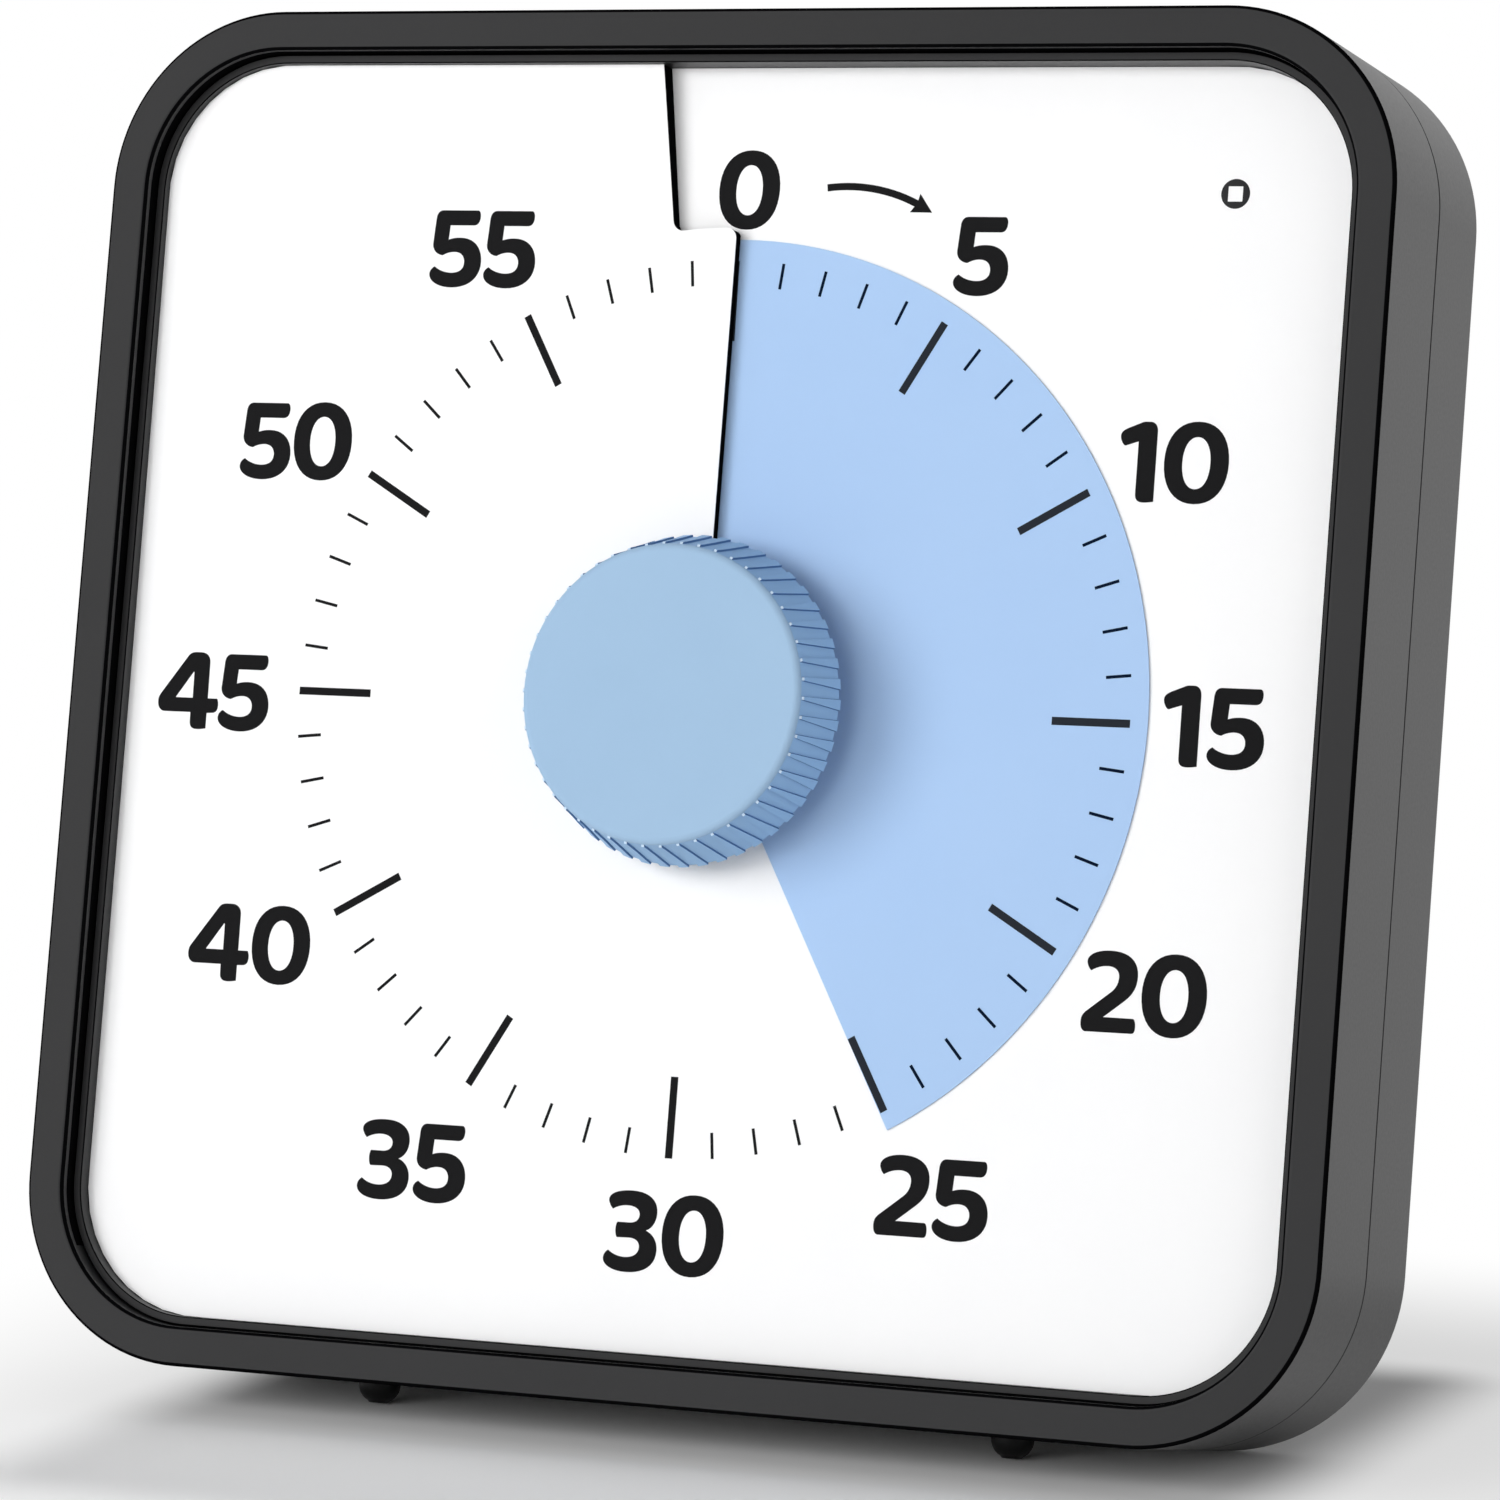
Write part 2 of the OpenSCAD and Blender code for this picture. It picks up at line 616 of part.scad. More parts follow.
// Back half of the movement's box, with the bearings of the train and the coil's saddle
module movement_back() {
  color("#2f3032") difference() {
    union() {
      difference() {
        translate([0, 0, move_back_z])
          linear_extrude(move_split_z - eps - move_back_z) move_plan(0);
        translate([0, 0, move_back_z + move_wall])
          linear_extrude(move_split_z - move_back_z) move_plan(move_wall);
      }
      for (s = [-1, 1]) rod(s * [24.2, 24.2], 2.2, move_back_z + 1, move_split_z - eps);
      rod(idler_at, 1.8, move_back_z + 1, idler_z - 1.2);
      for (x = [-coil_x, coil_x]) rod([rotor_at[0] + x, coil_y], 2.2, move_back_z + 1,
        stator_z - stator_t - eps);
    }
    rod([0, 0], spindle_r + run_fit, move_back_z + 0.9, case_d);
    move_pivots(pivot_r + run_fit, move_back_z + 0.5, case_d);
    for (s = [-1, 1]) rod(s * [24.2, 24.2], 1.1, -1, case_d);
  }
}

// Outline of a wheel with straight-sided teeth, one of them on the X axis
function gear_outline(teeth) =
  let (r = gear_m * teeth / 2, tip = r + 0.85 * gear_m, root = r - 1.15 * gear_m,
    pitch = 360 / teeth)
  [for (i = [0:teeth - 1]) for (p = [[root, -0.29], [tip, -0.12], [tip, 0.12], [root, 0.29]])
    let (a = (i + p[1]) * pitch) p[0] * [cos(a), sin(a)]];

module gear(teeth, turn, t) {
  rotate(turn) linear_extrude(t) polygon(gear_outline(teeth));
}

// Wheel that drives the spindle through the clutch
module output_wheel() {
  color("#e8e2d0") translate([0, 0, out_z]) difference() {
    gear(out_teeth, idler_dir, out_t);
    translate([0, 0, -1]) cylinder(r = spindle_r + run_fit, h = out_t + 2);
    for (a = [0:60:300]) rotate(a) translate([9, 0, -1]) cylinder(r = 2.6, h = out_t + 2);
  }
}

// Dished washer that presses the output wheel against the spindle's collar
module clutch_spring() {
  color("#b9bcc0") translate([0, 0, out_z - 1.2 + eps]) rotate_extrude() polygon([
    [spindle_r + run_fit, 0], [spindle_r + 1.4, 0], [6.4, 1.1], [6.4, 1.2 - 2 * eps],
    [6.1, 1.2 - 2 * eps], [spindle_r + run_fit, 0.25]]);
}

module idler_wheel() {
  color("#e8e2d0") translate([idler_at[0], idler_at[1], 0]) {
    difference() {
      translate([0, 0, idler_z]) gear(idler_teeth, rotor_dir, idler_t);
      for (a = [0:72:288]) rotate(a)
        translate([7.6, 0, idler_z - 1]) cylinder(r = 2.4, h = idler_t + 2);
    }
    translate([0, 0, idler_z + idler_t - eps])
      gear(pinion_teeth, idler_dir + 180 + 180 / pinion_teeth, out_z + out_t + 0.5
        - idler_z - idler_t);
    cylinder_between(pivot_r, move_back_z + 0.7, move_front_z - 0.5);
  }
}

module cylinder_between(r, z0, z1) {
  translate([0, 0, z0]) cylinder(r = r, h = z1 - z0);
}

// Rotor's arbor with its pinion and the seat of its magnet
module rotor() {
  color("#e8e2d0") translate([rotor_at[0], rotor_at[1], 0]) {
    translate([0, 0, idler_z - 0.4]) gear(pinion_teeth, rotor_dir + 180 + 180 / pinion_teeth,
      idler_t + 0.8);
    cylinder_between(1.6, magnet_z + magnet_t, idler_z - 0.4 + eps);
    cylinder_between(pivot_r, move_back_z + 0.7, move_front_z - 0.5);
  }
}

module rotor_magnet() {
  color("#4b4b4f") translate([rotor_at[0], rotor_at[1], magnet_z]) difference() {
    cylinder(r = magnet_r, h = magnet_t);
    translate([0, 0, -1]) cylinder(r = pivot_r + 0.02, h = magnet_t + 2);
  }
}

// Laminated plate that leads the coil's field round the rotor
module stator() {
  h = magnet_r + stator_gap;
  arm = coil_y - rotor_at[1];
  foot = coil_x - 2.4;
  low = arm + flange_r + 0.5;
  color("#9aa0a6") translate([rotor_at[0], rotor_at[1], stator_z])
    linear_extrude(stator_t) difference() {
      polygon([[-h - 3, h + 1.6], [h + 3, h + 1.6], [coil_x + 2.4, arm + 4],
        [coil_x + 2.4, arm - 1.6], [foot, arm - 1.6], [foot, low], [-foot, low],
        [-foot, arm - 1.6], [-coil_x - 2.4, arm - 1.6], [-coil_x - 2.4, arm + 4]]);
      circle(r = h);
      for (y = [-1, 1]) translate([-0.4, y * h - 0.6]) square([0.8, 1.2]);
    }
}

// Core that joins the stator's feet through the coil
module coil_core() {
  color("#8d9299") translate([rotor_at[0], coil_y, coil_z])
    cube([2 * coil_x + 4, core_w, stator_t - eps], center = true);
}

module coil_bobbin() {
  long = 2 * (coil_x - 3);
  color("#d9dde0") translate([rotor_at[0], coil_y, coil_z]) difference() {
    rotate([0, 90, 0]) {
      for (x = [-long / 2, long / 2 - 1]) translate([0, 0, x]) cylinder(r = flange_r, h = 1);
      translate([0, 0, -long / 2]) cylinder(r = core_hub_r, h = long);
    }
    cube([long + 2, core_w + 2 * run_fit, stator_t + 2 * run_fit], center = true);
  }
}

module coil_winding() {
  long = 2 * (coil_x - 3) - 2;
  color("#b5651d") translate([rotor_at[0], coil_y, coil_z]) rotate([0, 90, 0]) difference() {
    translate([0, 0, -long / 2 + eps]) cylinder(r = coil_r, h = long - 2 * eps);
    translate([0, 0, -long]) cylinder(r = core_hub_r + eps, h = 2 * long);
  }
}

// Two screws that hold the movement's halves together and to the chassis
module movement_screws() {
  color("#b9bcc0") for (s = [-1, 1]) translate(s * [24.2, 24.2, 0]) {
    cylinder_between(0.85, move_back_z - eps, chassis_z - 0.5);
    difference() {
      cylinder_between(2, move_back_z - 1.2, move_back_z);
      cross_slot(move_back_z - 1.2, 0.6, 2.4);
    }
  }
}

module cross_slot(z, deep, long) {
  for (a = [0, 90]) rotate(a) translate([-long / 2, -0.3, z - 1]) cube([long, 0.6, 1 + deep]);
}

// ---- board, lamp and sound ----------------------------------------------------------

module circuit_board() {
  color("#2f6b3f") difference() {
    block(board_x, board_y, [board_z - board_t, board_z]);
    for (p = board_holes) rod(p, 1.1, 0, case_d);
  }
}

module board_screws() {
  color("#b9bcc0") for (p = board_holes) translate([p[0], p[1], 0]) {
    cylinder_between(0.85, board_z - board_t - eps, chassis_z - 0.7);
    difference() {
      cylinder_between(1.9, board_z - board_t - 1.2, board_z - board_t);
      cross_slot(board_z - board_t - 1.2, 0.6, 2.4);
    }
  }
}

// Timer chip with its legs, on the back of the board
module control_chip() {
  at = [(board_x[0] + board_x[1]) / 2, 26];
  z = board_z - board_t;
  color("#1c1c1e") {
    block(span(at[0], 4.4), span(at[1], 3), [z - 1.9, z - 0.25]);
    for (x = [-3.3:1.1:3.3]) for (y = [-1, 1])
      block(span(at[0] + x, 0.2), span(at[1] + y * 3.5, 0.9), [z - 0.55, z]);
  }
}

// Dark sleeve round the signal lamp, flush with the dial
module lamp_holder() {
  z = lamp_front();
  color("#1d1d1f") translate([lamp_at[0], lamp_at[1], 0]) difference() {
    cylinder_between(lamp_r, board_z, z);
    translate([-lamp_size / 2 - 0.03, -lamp_size / 2 - 0.03, z - lamp_t - 0.1])
      cube([lamp_size + 0.06, lamp_size + 0.06, lamp_t + 1]);
  }
}

function lamp_front() = dial_z(atan2(lamp_at[0], lamp_at[1]), norm(lamp_at)) + 0.05;

module lamp_chip() {
  color("#ffffff") translate([lamp_at[0] - lamp_size / 2, lamp_at[1] - lamp_size / 2,
    lamp_front() - lamp_t - 0.1]) cube([lamp_size, lamp_size, lamp_t]);
}

module sounder() {
  color("#232325") translate([sounder_at[0], sounder_at[1], wall]) difference() {
    cylinder(r = sounder_r, h = sounder_h);
    translate([0, 0, -1]) cylinder(r = sounder_r - 3, h = 1.8);
  }
}

module switch_body() {
  color("#b9bcc0") difference() {
    block(span(switch_at[0], 7.5), span(switch_at[1], 3.5), [wall, wall + 5]);
    block(span(switch_at[0], slot_w / 2), span(switch_at[1], slot_h / 2),
      [wall - 1, wall + 3]);
  }
}

// Thumb slider with three grip ridges, and the stem that works the switch
module switch_slider() {
  color("#56585b") translate([switch_at[0], switch_at[1], 0]) {
    block([-3, 3], [-3.6, 3.6], [0.7, 1.4]);
    for (x = [-1.8, 0, 1.8]) block([x - 0.4, x + 0.4], [-3.2, 3.2], [0.2, 0.7 + eps]);
    block([-1.4, 1.4], [-slot_h / 2 + 0.15, slot_h / 2 - 0.15], [1.4 - eps, wall + 2.6]);
  }
}

// ---- power --------------------------------------------------------------------------

cell_rows = [[-1, 1], [1, -1]];       // side of the bay's middle, and the button's way

module battery_cells() {
  for (c = cell_rows) translate([c[1] * cell_shift, bay_mid + c[0] * cell_gap / 2, cell_z])
    rotate([0, 90 * c[1], 0]) color("#7f8487") {
      translate([0, 0, -cell_l / 2]) cylinder(r = cell_r, h = cell_l - 1);
      translate([0, 0, cell_l / 2 - 1 - eps]) cylinder(r = 2.75, h = 1 + eps);
    }
}

// Conical coil springs at the flat ends of the cells
module contact_springs() {
  turns = 3;
  sides = 6;
  steps = 14 * turns;
  wire_r = 0.35;
  room = bay_x - (cell_l / 2 - cell_shift) - 0.45;
  for (c = cell_rows)
    translate([-c[1] * (bay_x - 0.42), bay_mid + c[0] * cell_gap / 2, cell_z])
      rotate([0, 90 * c[1], 0]) color("#c9ccd0") polyhedron(
        points = [for (i = [0:steps]) let (a = 360 * turns * i / steps,
            r = 4.6 - 1.9 * i / steps, z = wire_r + (room - 2 * wire_r - 0.1) * i / steps)
          for (k = [0:sides - 1]) let (b = 360 * k / sides)
          [(r + wire_r * cos(b)) * cos(a), (r + wire_r * cos(b)) * sin(a),
            z + wire_r * sin(b)]],
        faces = concat(
          [[for (k = [0:sides - 1]) k]],
          [for (i = [0:steps - 1]) for (k = [0:sides - 1])
            [sides * i + k, sides * (i + 1) + k, sides * i + (k + 1) % sides]],
          [for (i = [0:steps - 1]) for (k = [0:sides - 1])
            [sides * (i + 1) + k, sides * (i + 1) + (k + 1) % sides,
              sides * i + (k + 1) % sides]],
          [[for (k = [sides - 1:-1:0]) sides * steps + k]]));
}

// Sheet contacts: a button plate for each cell, and a plate under each spring
module contact_plates() {
  t = 0.35;
  color("#c9ccd0") for (c = cell_rows) for (s = [-1, 1]) {
    x = s * c[1] * (bay_x - t / 2 - 0.02);
    deep = s > 0 ? bay_x - (cell_l / 2 + cell_shift) - t - 0.1 : 0;
    translate([x, bay_mid + c[0] * cell_gap / 2, cell_z]) {
      cube([t, 11, 11], center = true);
      if (s > 0) rotate([0, -90 * c[1], 0]) cylinder(r = 3.2, h = deep + t / 2);
    }
  }
}

// Door with its two hooks and its latch tongue
module battery_door() {
  x = bay_x + door_lap - slip;
  y0 = bay_y[0] - door_lap + slip;
  y1 = bay_y[1] + door_lap - slip;
  color("#3e3e3e") difference() {
    union() {
      block([-x, x], [y0, y1], [0, door_t]);
      block([-9, 9], [y1 - tongue_in[0], y1 - tongue_in[1]], [door_t - eps, tongue_z]);
    }
    for (i = [-3:3]) translate([0, y1 - 8 + 1.6 * i / 2, -0.3]) rotate([0, 90, 0])
      translate([0, 0, -6]) cylinder(r = 0.5, h = 12);
  }
}

// ---- fasteners, feet and leads ------------------------------------------------------

module case_screws() {
  color("#303032") four(screw_at) {
    cylinder_between(screw_r, head_sink - eps, chassis_z - 2);
    difference() {
      cylinder_between(head_r, head_sink - head_h, head_sink);
      cross_slot(head_sink - head_h, 1, 3.6);
    }
  }
}

// Half-round seats in both shells that clamp a peg at the parting line
module peg_seat(x) {
  translate([x, -half_h, split_z]) rotate([90, 0, 0]) {
    translate([0, 0, -wall - 1]) cylinder(r = peg_neck_r + run_fit, h = wall + 2);
    translate([0, 0, -wall - 2.5]) cylinder(r = peg_flange_r + slip, h = 2.5);
  }
}

module foot_pegs() {
  color("#151517") for (x = [-foot_x, foot_x])
    translate([x, -half_h, split_z]) rotate([90, 0, 0]) {
      rotate_extrude() polygon(concat(
        [[0, 0.02], [foot_r, 0.02]],
        arc(foot_h - 0.5, 0, 62, 5, [foot_r - foot_h + 0.5, 0.5]),
        [[foot_tip_r, foot_h], [0, foot_h]]));
      translate([0, 0, -wall - 0.1]) cylinder(r = peg_neck_r, h = wall + 0.2);
      translate([0, 0, -wall - 0.1 - peg_flange_t])
        cylinder(r = peg_flange_r, h = peg_flange_t);
    }
}

module stand_pin_shape(grow) {
  long = pocket_w / 2 + 2.4;
  translate([-long - grow, stand_y, stand_z]) rotate([0, 90, 0])
    cylinder(r = pin_r + grow, h = 2 * (long + grow));
}

module stand_pin() {
  color("#b9bcc0") stand_pin_shape(0);
}

// Fold-out foot, opened on to the floor
module kickstand() {
  color("#3a3a3b") translate([0, stand_y, stand_z]) rotate([-stand_open, 0, 0])
    difference() {
      union() {
        translate([-stand_w / 2, 0, 0]) rotate([0, 90, 0]) cylinder(r = barrel_r, h = stand_w);
        translate([-stand_w / 2, 0, -stand_t / 2]) cube([stand_w, stand_l, stand_t]);
        translate([-stand_w / 2, stand_l, 0]) rotate([0, 90, 0])
          cylinder(r = stand_t / 2, h = stand_w);
      }
      translate([-stand_w, 0, 0]) rotate([0, 90, 0])
        cylinder(r = pin_r + run_fit, h = 2 * stand_w);
    }
}

// Straight round bar between two points
module bar(p, q, r) {
  d = q - p;
  translate(p) rotate([0, acos(d[2] / norm(d)), atan2(d[1], d[0])])
    cylinder(r = r, h = norm(d), $fn = 16);
}

module lead(path) {
  for (i = [1:len(path) - 1]) bar(path[i - 1], path[i], lead_r);
  for (i = [1:1:len(path) - 2]) translate(path[i]) sphere(r = lead_r, $fn = 16);
}

// Insulated leads from the bay, the motor, the sounder and the switch to the board
module lead_wires() {
  z = board_z - board_t;
  edge = board_x[0] + 2.5;
  side = bay_x + bay_wall;
  low = z - 2.3;
  color("#b02a2a") {
    for (s = [-1, 1]) let (y = bay_mid + s * cell_gap / 2)
      lead([[side, y, cell_z], [edge, y, cell_z], [edge, y, z]]);
    for (y = [18, 21])
      lead([[move_w / 2, y, move_back_z + 4], [edge, y, move_back_z + 4], [edge, y, z]]);
    for (x = [-4, 4])
      lead([[sounder_at[0] + x, sounder_at[1], wall + sounder_h],
        [sounder_at[0] + x, sounder_at[1], z]]);
    for (s = [0, 1]) let (x = switch_at[0] - 2 + 4 * s, y = switch_at[1] + 2.5 * s)
      lead([[x, y, wall + 5], [x, y, low], [edge, y, low], [edge, y, z]]);
  }
}

stand_up() front_case();
stand_up() rear_case();
stand_up() trim_ring();
stand_up() dial_plate();
stand_up() colour_disc();
stand_up() disc_hub();
stand_up() knob();
stand_up() spindle();
stand_up() chassis_plate();
stand_up() movement_front();
stand_up() movement_back();
stand_up() output_wheel();
stand_up() clutch_spring();
stand_up() idler_wheel();
stand_up() rotor();
stand_up() rotor_magnet();
stand_up() stator();
stand_up() coil_core();
stand_up() coil_bobbin();
stand_up() coil_winding();
stand_up() movement_screws();
stand_up() circuit_board();
stand_up() board_screws();
stand_up() control_chip();
stand_up() lamp_holder();
stand_up() lamp_chip();
stand_up() sounder();
stand_up() switch_body();
stand_up() switch_slider();
stand_up() battery_cells();
stand_up() contact_springs();
stand_up() contact_plates();
stand_up() battery_door();
stand_up() case_screws();
stand_up() foot_pegs();
stand_up() kickstand();
stand_up() stand_pin();
stand_up() lead_wires();
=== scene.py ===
import json
import math

import bmesh
import bpy
from mathutils import Matrix, Vector
from mathutils.geometry import tessellate_polygon

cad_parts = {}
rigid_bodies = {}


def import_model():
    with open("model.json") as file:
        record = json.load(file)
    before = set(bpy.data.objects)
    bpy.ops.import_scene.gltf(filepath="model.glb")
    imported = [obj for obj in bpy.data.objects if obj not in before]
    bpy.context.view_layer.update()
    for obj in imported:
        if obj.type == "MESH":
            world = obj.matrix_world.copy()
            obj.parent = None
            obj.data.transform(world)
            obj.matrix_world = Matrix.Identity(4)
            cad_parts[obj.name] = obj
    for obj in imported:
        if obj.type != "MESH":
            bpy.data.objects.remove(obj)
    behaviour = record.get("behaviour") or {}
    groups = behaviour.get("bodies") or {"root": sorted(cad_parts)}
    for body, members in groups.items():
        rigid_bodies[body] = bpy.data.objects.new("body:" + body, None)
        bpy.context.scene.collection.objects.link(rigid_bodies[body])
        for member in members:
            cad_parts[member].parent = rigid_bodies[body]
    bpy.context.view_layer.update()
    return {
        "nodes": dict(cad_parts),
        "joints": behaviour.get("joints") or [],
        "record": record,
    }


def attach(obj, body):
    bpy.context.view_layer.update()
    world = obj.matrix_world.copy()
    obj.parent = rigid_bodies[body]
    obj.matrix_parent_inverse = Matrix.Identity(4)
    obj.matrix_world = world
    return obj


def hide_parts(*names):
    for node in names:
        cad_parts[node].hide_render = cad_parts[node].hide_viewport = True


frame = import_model()


def joint(name):
    return next(j for j in frame["joints"] if j["name"] == name)


# Every shape below is drawn in millimetres with the case lying on its back: X to the right,
# Y up the dial, Z out of the dial, back face at Z = 0. STAND tips it on to its feet.
MM = 0.001
SPIN_Z = 30
spin = joint("dial_spin")
RIGHT = Vector((1, 0, 0))
BACK = Vector(spin["axis"]).normalized()
UP = RIGHT.cross(BACK)
TURN = Matrix((RIGHT, UP, -BACK)).transposed()
STAND = Matrix.Translation(Vector(spin["pos_m"]) + BACK * SPIN_Z * MM) @ (TURN * MM).to_4x4()

# ---- sizes of the timer ---------------------------------------------------------------
# The rounded square case: two shells that meet at SPLIT_Z, each with a small bevel there
HALF = 95.0
CASE_D = 38.0
CORNER_R = 25.0
ARC = HALF - CORNER_R
WALL = 2.5
SPLIT_Z = 18.6
SEAM = 0.22
SEAM_GAP = 0.02
EDGE_R = 0.6
REAR_EDGE_R = 2.0

# Bezel, its rounded inner lip, and the trim ring behind it, measured in from the case's side
BEZEL_W = 5.5
LIP_R = 0.7
# Below this height the lip's wall is painted black as shade, except along the bottom where it faces
# up.
LIP_PAINTED_SHADE_Z = 36.7
BAR_Z = 29.4
RING_Z = 35.2
RING_OUT = 5.7
RING_IN = 6.9
RING_BACK = 2.6
CHASSIS_Z = 28.4

# Dial: a sheet that climbs DIAL_RISE in one turn about its middle height DIAL_Z, and is
# slit from the hole to SLIT_R at the zero, and on to its edge SLIT_JOG degrees before it
DIAL_IN = 6.95
DIAL_DEPTH = 5.45
DIAL_Z = CASE_D - DIAL_DEPTH
DIAL_RISE = 2.0
RISE_R = 61.35
DIAL_T = 0.8
# Only the top WHITE_T of the sheet's cut edge is white; below it the edge is painted black as shade.
WHITE_T = 0.12
DIAL_HOLE_R = 9.6
SLIT_R = 65.5
SLIT_JOG = 8.2
SLIT_ROUND = 1.5
SLIT_TURN = 360 - SLIT_JOG
SLIT_NEAR = math.degrees(SLIT_ROUND / SLIT_R)

# Time disc, on the same ramp, up to the clock angle DISC_END
DISC_R = 64.1
DISC_T = 0.2
DISC_GAP = 0.1
DISC_TOP = DIAL_Z + DISC_GAP + DISC_T
DISC_END = 150.5
DISC_SPAN = 356.0
HUB_R = 9.05

# Knob and its ribs
KNOB_BASE_R = 22.3
KNOB_FACE_R = 19.3
KNOB_BASE_Z = 38.1
KNOB_FACE_Z = 47.15
KNOB_EDGE_R = 1.1
KNOB_BORE_R = 3.02
KNOB_RIBS = 50
RIB_H = 0.28
RIB_SIDE = 0.022
RIB_TURN = 6.7

# Lamp and print
LAMP = (70.7, 70.9)
LAMP_R = 2.05
PRINT_R = 61.37
INK_T = 0.03
PRINT_AT = (0.12, -0.2)
DISC_PRINT_AT = (0.26, -0.2)

# Pegs, and the back: screws, battery bay and door, fold-out foot, sounder, switch, hanger
FOOT_X = 47.3
SCREW_AT = 83.2
BAY_X = 29.65
BAY_Y = (33.0, 63.6)
BAY_D = 17.3
BAY_WALL = 1.5
DOOR_X = 30.95
DOOR_Y = (31.7, 64.9)
DOOR_T = 1.8
STAND_Y = -82.0
STAND_Z = 2.8
STAND_W = 60.0
STAND_L = 38.0
STAND_T = 3.5
BARREL_R = 2.6
POCKET_X = 30.8
POCKET_Y = (-84.8, -41.65)
POCKET_D = 5.8
NOTCH_R = 11.0
SOUNDER = (56.0, 34.0)
SWITCH = (-56.0, 44.0)
HANGER_Y = 81.0


# ---- camera ---------------------------------------------------------------------------
def place_camera():
    data = bpy.data.cameras.new("camera")
    data.sensor_width = 36
    data.lens = 156.04
    data.clip_start = 0.05
    data.clip_end = 20
    eye = bpy.data.objects.new("camera", data)
    bpy.context.scene.collection.objects.link(eye)
    across = TURN @ Vector((0.916903, 0.076564, -0.391698))
    above = TURN @ Vector((-0.038859, 0.993890, 0.103308))
    behind = TURN @ Vector((0.397214, -0.079503, 0.914276))
    at = STAND @ Vector((356.68, -75.70, 836.34))
    eye.matrix_world = Matrix.Translation(at) @ Matrix((across, above, behind)).transposed().to_4x4()
    bpy.context.scene.camera = eye


place_camera()


# ---- finishes -------------------------------------------------------------------------
def linear(c):
    return c / 12.92 if c <= 0.04045 else ((c + 0.055) / 1.055) ** 2.4


def shade(code):
    return tuple(linear(int(code[i:i + 2], 16) / 255) for i in (0, 2, 4)) + (1.0,)


def blank(holder):
    """Empties the node tree of a material or the world."""
    holder.use_nodes = True
    nodes, links = holder.node_tree.nodes, holder.node_tree.links
    nodes.clear()
    return nodes, links


def finish(name, light, dark, rough, grain, size, cloud=0.02, **sockets):
    """A moulded or metal finish: two near colours in soft clouds, a fine grain that wears
    into the roughness, and a bump of the same grain. size is the grain in millimetres."""
    mat = bpy.data.materials.new(name)
    nodes, links = blank(mat)
    out = nodes.new("ShaderNodeOutputMaterial")
    skin = nodes.new("ShaderNodeBsdfPrincipled")
    coord = nodes.new("ShaderNodeTexCoord")
    clouds = nodes.new("ShaderNodeTexNoise")
    grains = nodes.new("ShaderNodeTexNoise")
    blend = nodes.new("ShaderNodeMix")
    wear = nodes.new("ShaderNodeMapRange")
    bump = nodes.new("ShaderNodeBump")
    links.new(coord.outputs["Object"], clouds.inputs["Vector"])
    links.new(coord.outputs["Object"], grains.inputs["Vector"])
    clouds.inputs["Scale"].default_value = 1 / cloud
    clouds.inputs["Detail"].default_value = 3
    grains.inputs["Scale"].default_value = 1 / (size * MM)
    grains.inputs["Detail"].default_value = 2
    blend.data_type = "RGBA"
    blend.inputs["A"].default_value = shade(dark)
    blend.inputs["B"].default_value = shade(light)
    links.new(clouds.outputs["Fac"], blend.inputs["Factor"])
    links.new(blend.outputs["Result"], skin.inputs["Base Color"])
    wear.inputs["To Min"].default_value = rough - 0.05
    wear.inputs["To Max"].default_value = rough + 0.05
    links.new(grains.outputs["Fac"], wear.inputs["Value"])
    links.new(wear.outputs["Result"], skin.inputs["Roughness"])
    bump.inputs["Strength"].default_value = grain
    bump.inputs["Distance"].default_value = 0.05 * MM
    links.new(grains.outputs["Fac"], bump.inputs["Height"])
    links.new(bump.outputs["Normal"], skin.inputs["Normal"])
    for key, value in sockets.items():
        skin.inputs[key.replace("_", " ")].default_value = value
    links.new(skin.outputs["BSDF"], out.inputs["Surface"])
    return mat


FINISH = {
    "case_plastic": finish("case_plastic", "242425", "202021", 0.42, 0.2, 0.5,
                           Specular_IOR_Level=0.42),
    "dial_white": finish("dial_white", "fbfbfb", "f7f7f8", 0.45, 0.05, 0.8,
                         Specular_IOR_Level=0.3),
    "blue_disc": finish("blue_disc", "adcaee", "a8c6ec", 0.55, 0.05, 0.8,
                        Specular_IOR_Level=0.1),
    "blue_knob": finish("blue_knob", "a2c0dc", "9cbad7", 0.55, 0.1, 0.5,
                        Specular_IOR_Level=0.05),
    "black_plastic": finish("black_plastic", "1f1f21", "19191b", 0.5, 0.25, 0.6,
                            Specular_IOR_Level=0.35),
    "black_rubber": finish("black_rubber", "0e0e0f", "09090a", 0.42, 0.2, 0.5,
                           Specular_IOR_Level=0.25),
    "gear_plastic": finish("gear_plastic", "ebe5d4", "e0d9c4", 0.4, 0.1, 0.4),
    "steel": finish("steel", "c9ccd0", "b2b6bb", 0.32, 0.2, 0.3, cloud=0.004, Metallic=1.0),
    "chassis_plastic": finish("chassis_plastic", "8f9295", "84878a", 0.5, 0.25, 0.5),
    "board_green": finish("board_green", "33734a", "265a34", 0.3, 0.1, 0.7, cloud=0.003,
                          Coat_Weight=0.4),
    "magnet": finish("magnet", "55555a", "414146", 0.45, 0.4, 0.3, Metallic=0.8),
    "copper": finish("copper", "c4743a", "9c5014", 0.3, 0.9, 0.12, cloud=0.001, Metallic=0.9),
    "cell_jacket": finish("cell_jacket", "8b9093", "6f7477", 0.28, 0.1, 0.6, Metallic=0.6),
    "lamp_white": finish("lamp_white", "ffffff", "f4f4f0", 0.2, 0.05, 0.3,
                         Coat_Weight=0.3),
    "lead_jacket": finish("lead_jacket", "b83030", "a02222", 0.35, 0.1, 0.3),
    "bobbin_plastic": finish("bobbin_plastic", "dfe3e6", "d0d4d8", 0.4, 0.1, 0.4),
}
INK = finish("dial_ink", "1c1c1d", "181819", 0.6, 0.05, 0.6, Specular_IOR_Level=0.05)
DISC_INK = finish("disc_ink", "292d34", "252930", 0.6, 0.05, 0.6, Specular_IOR_Level=0.05)
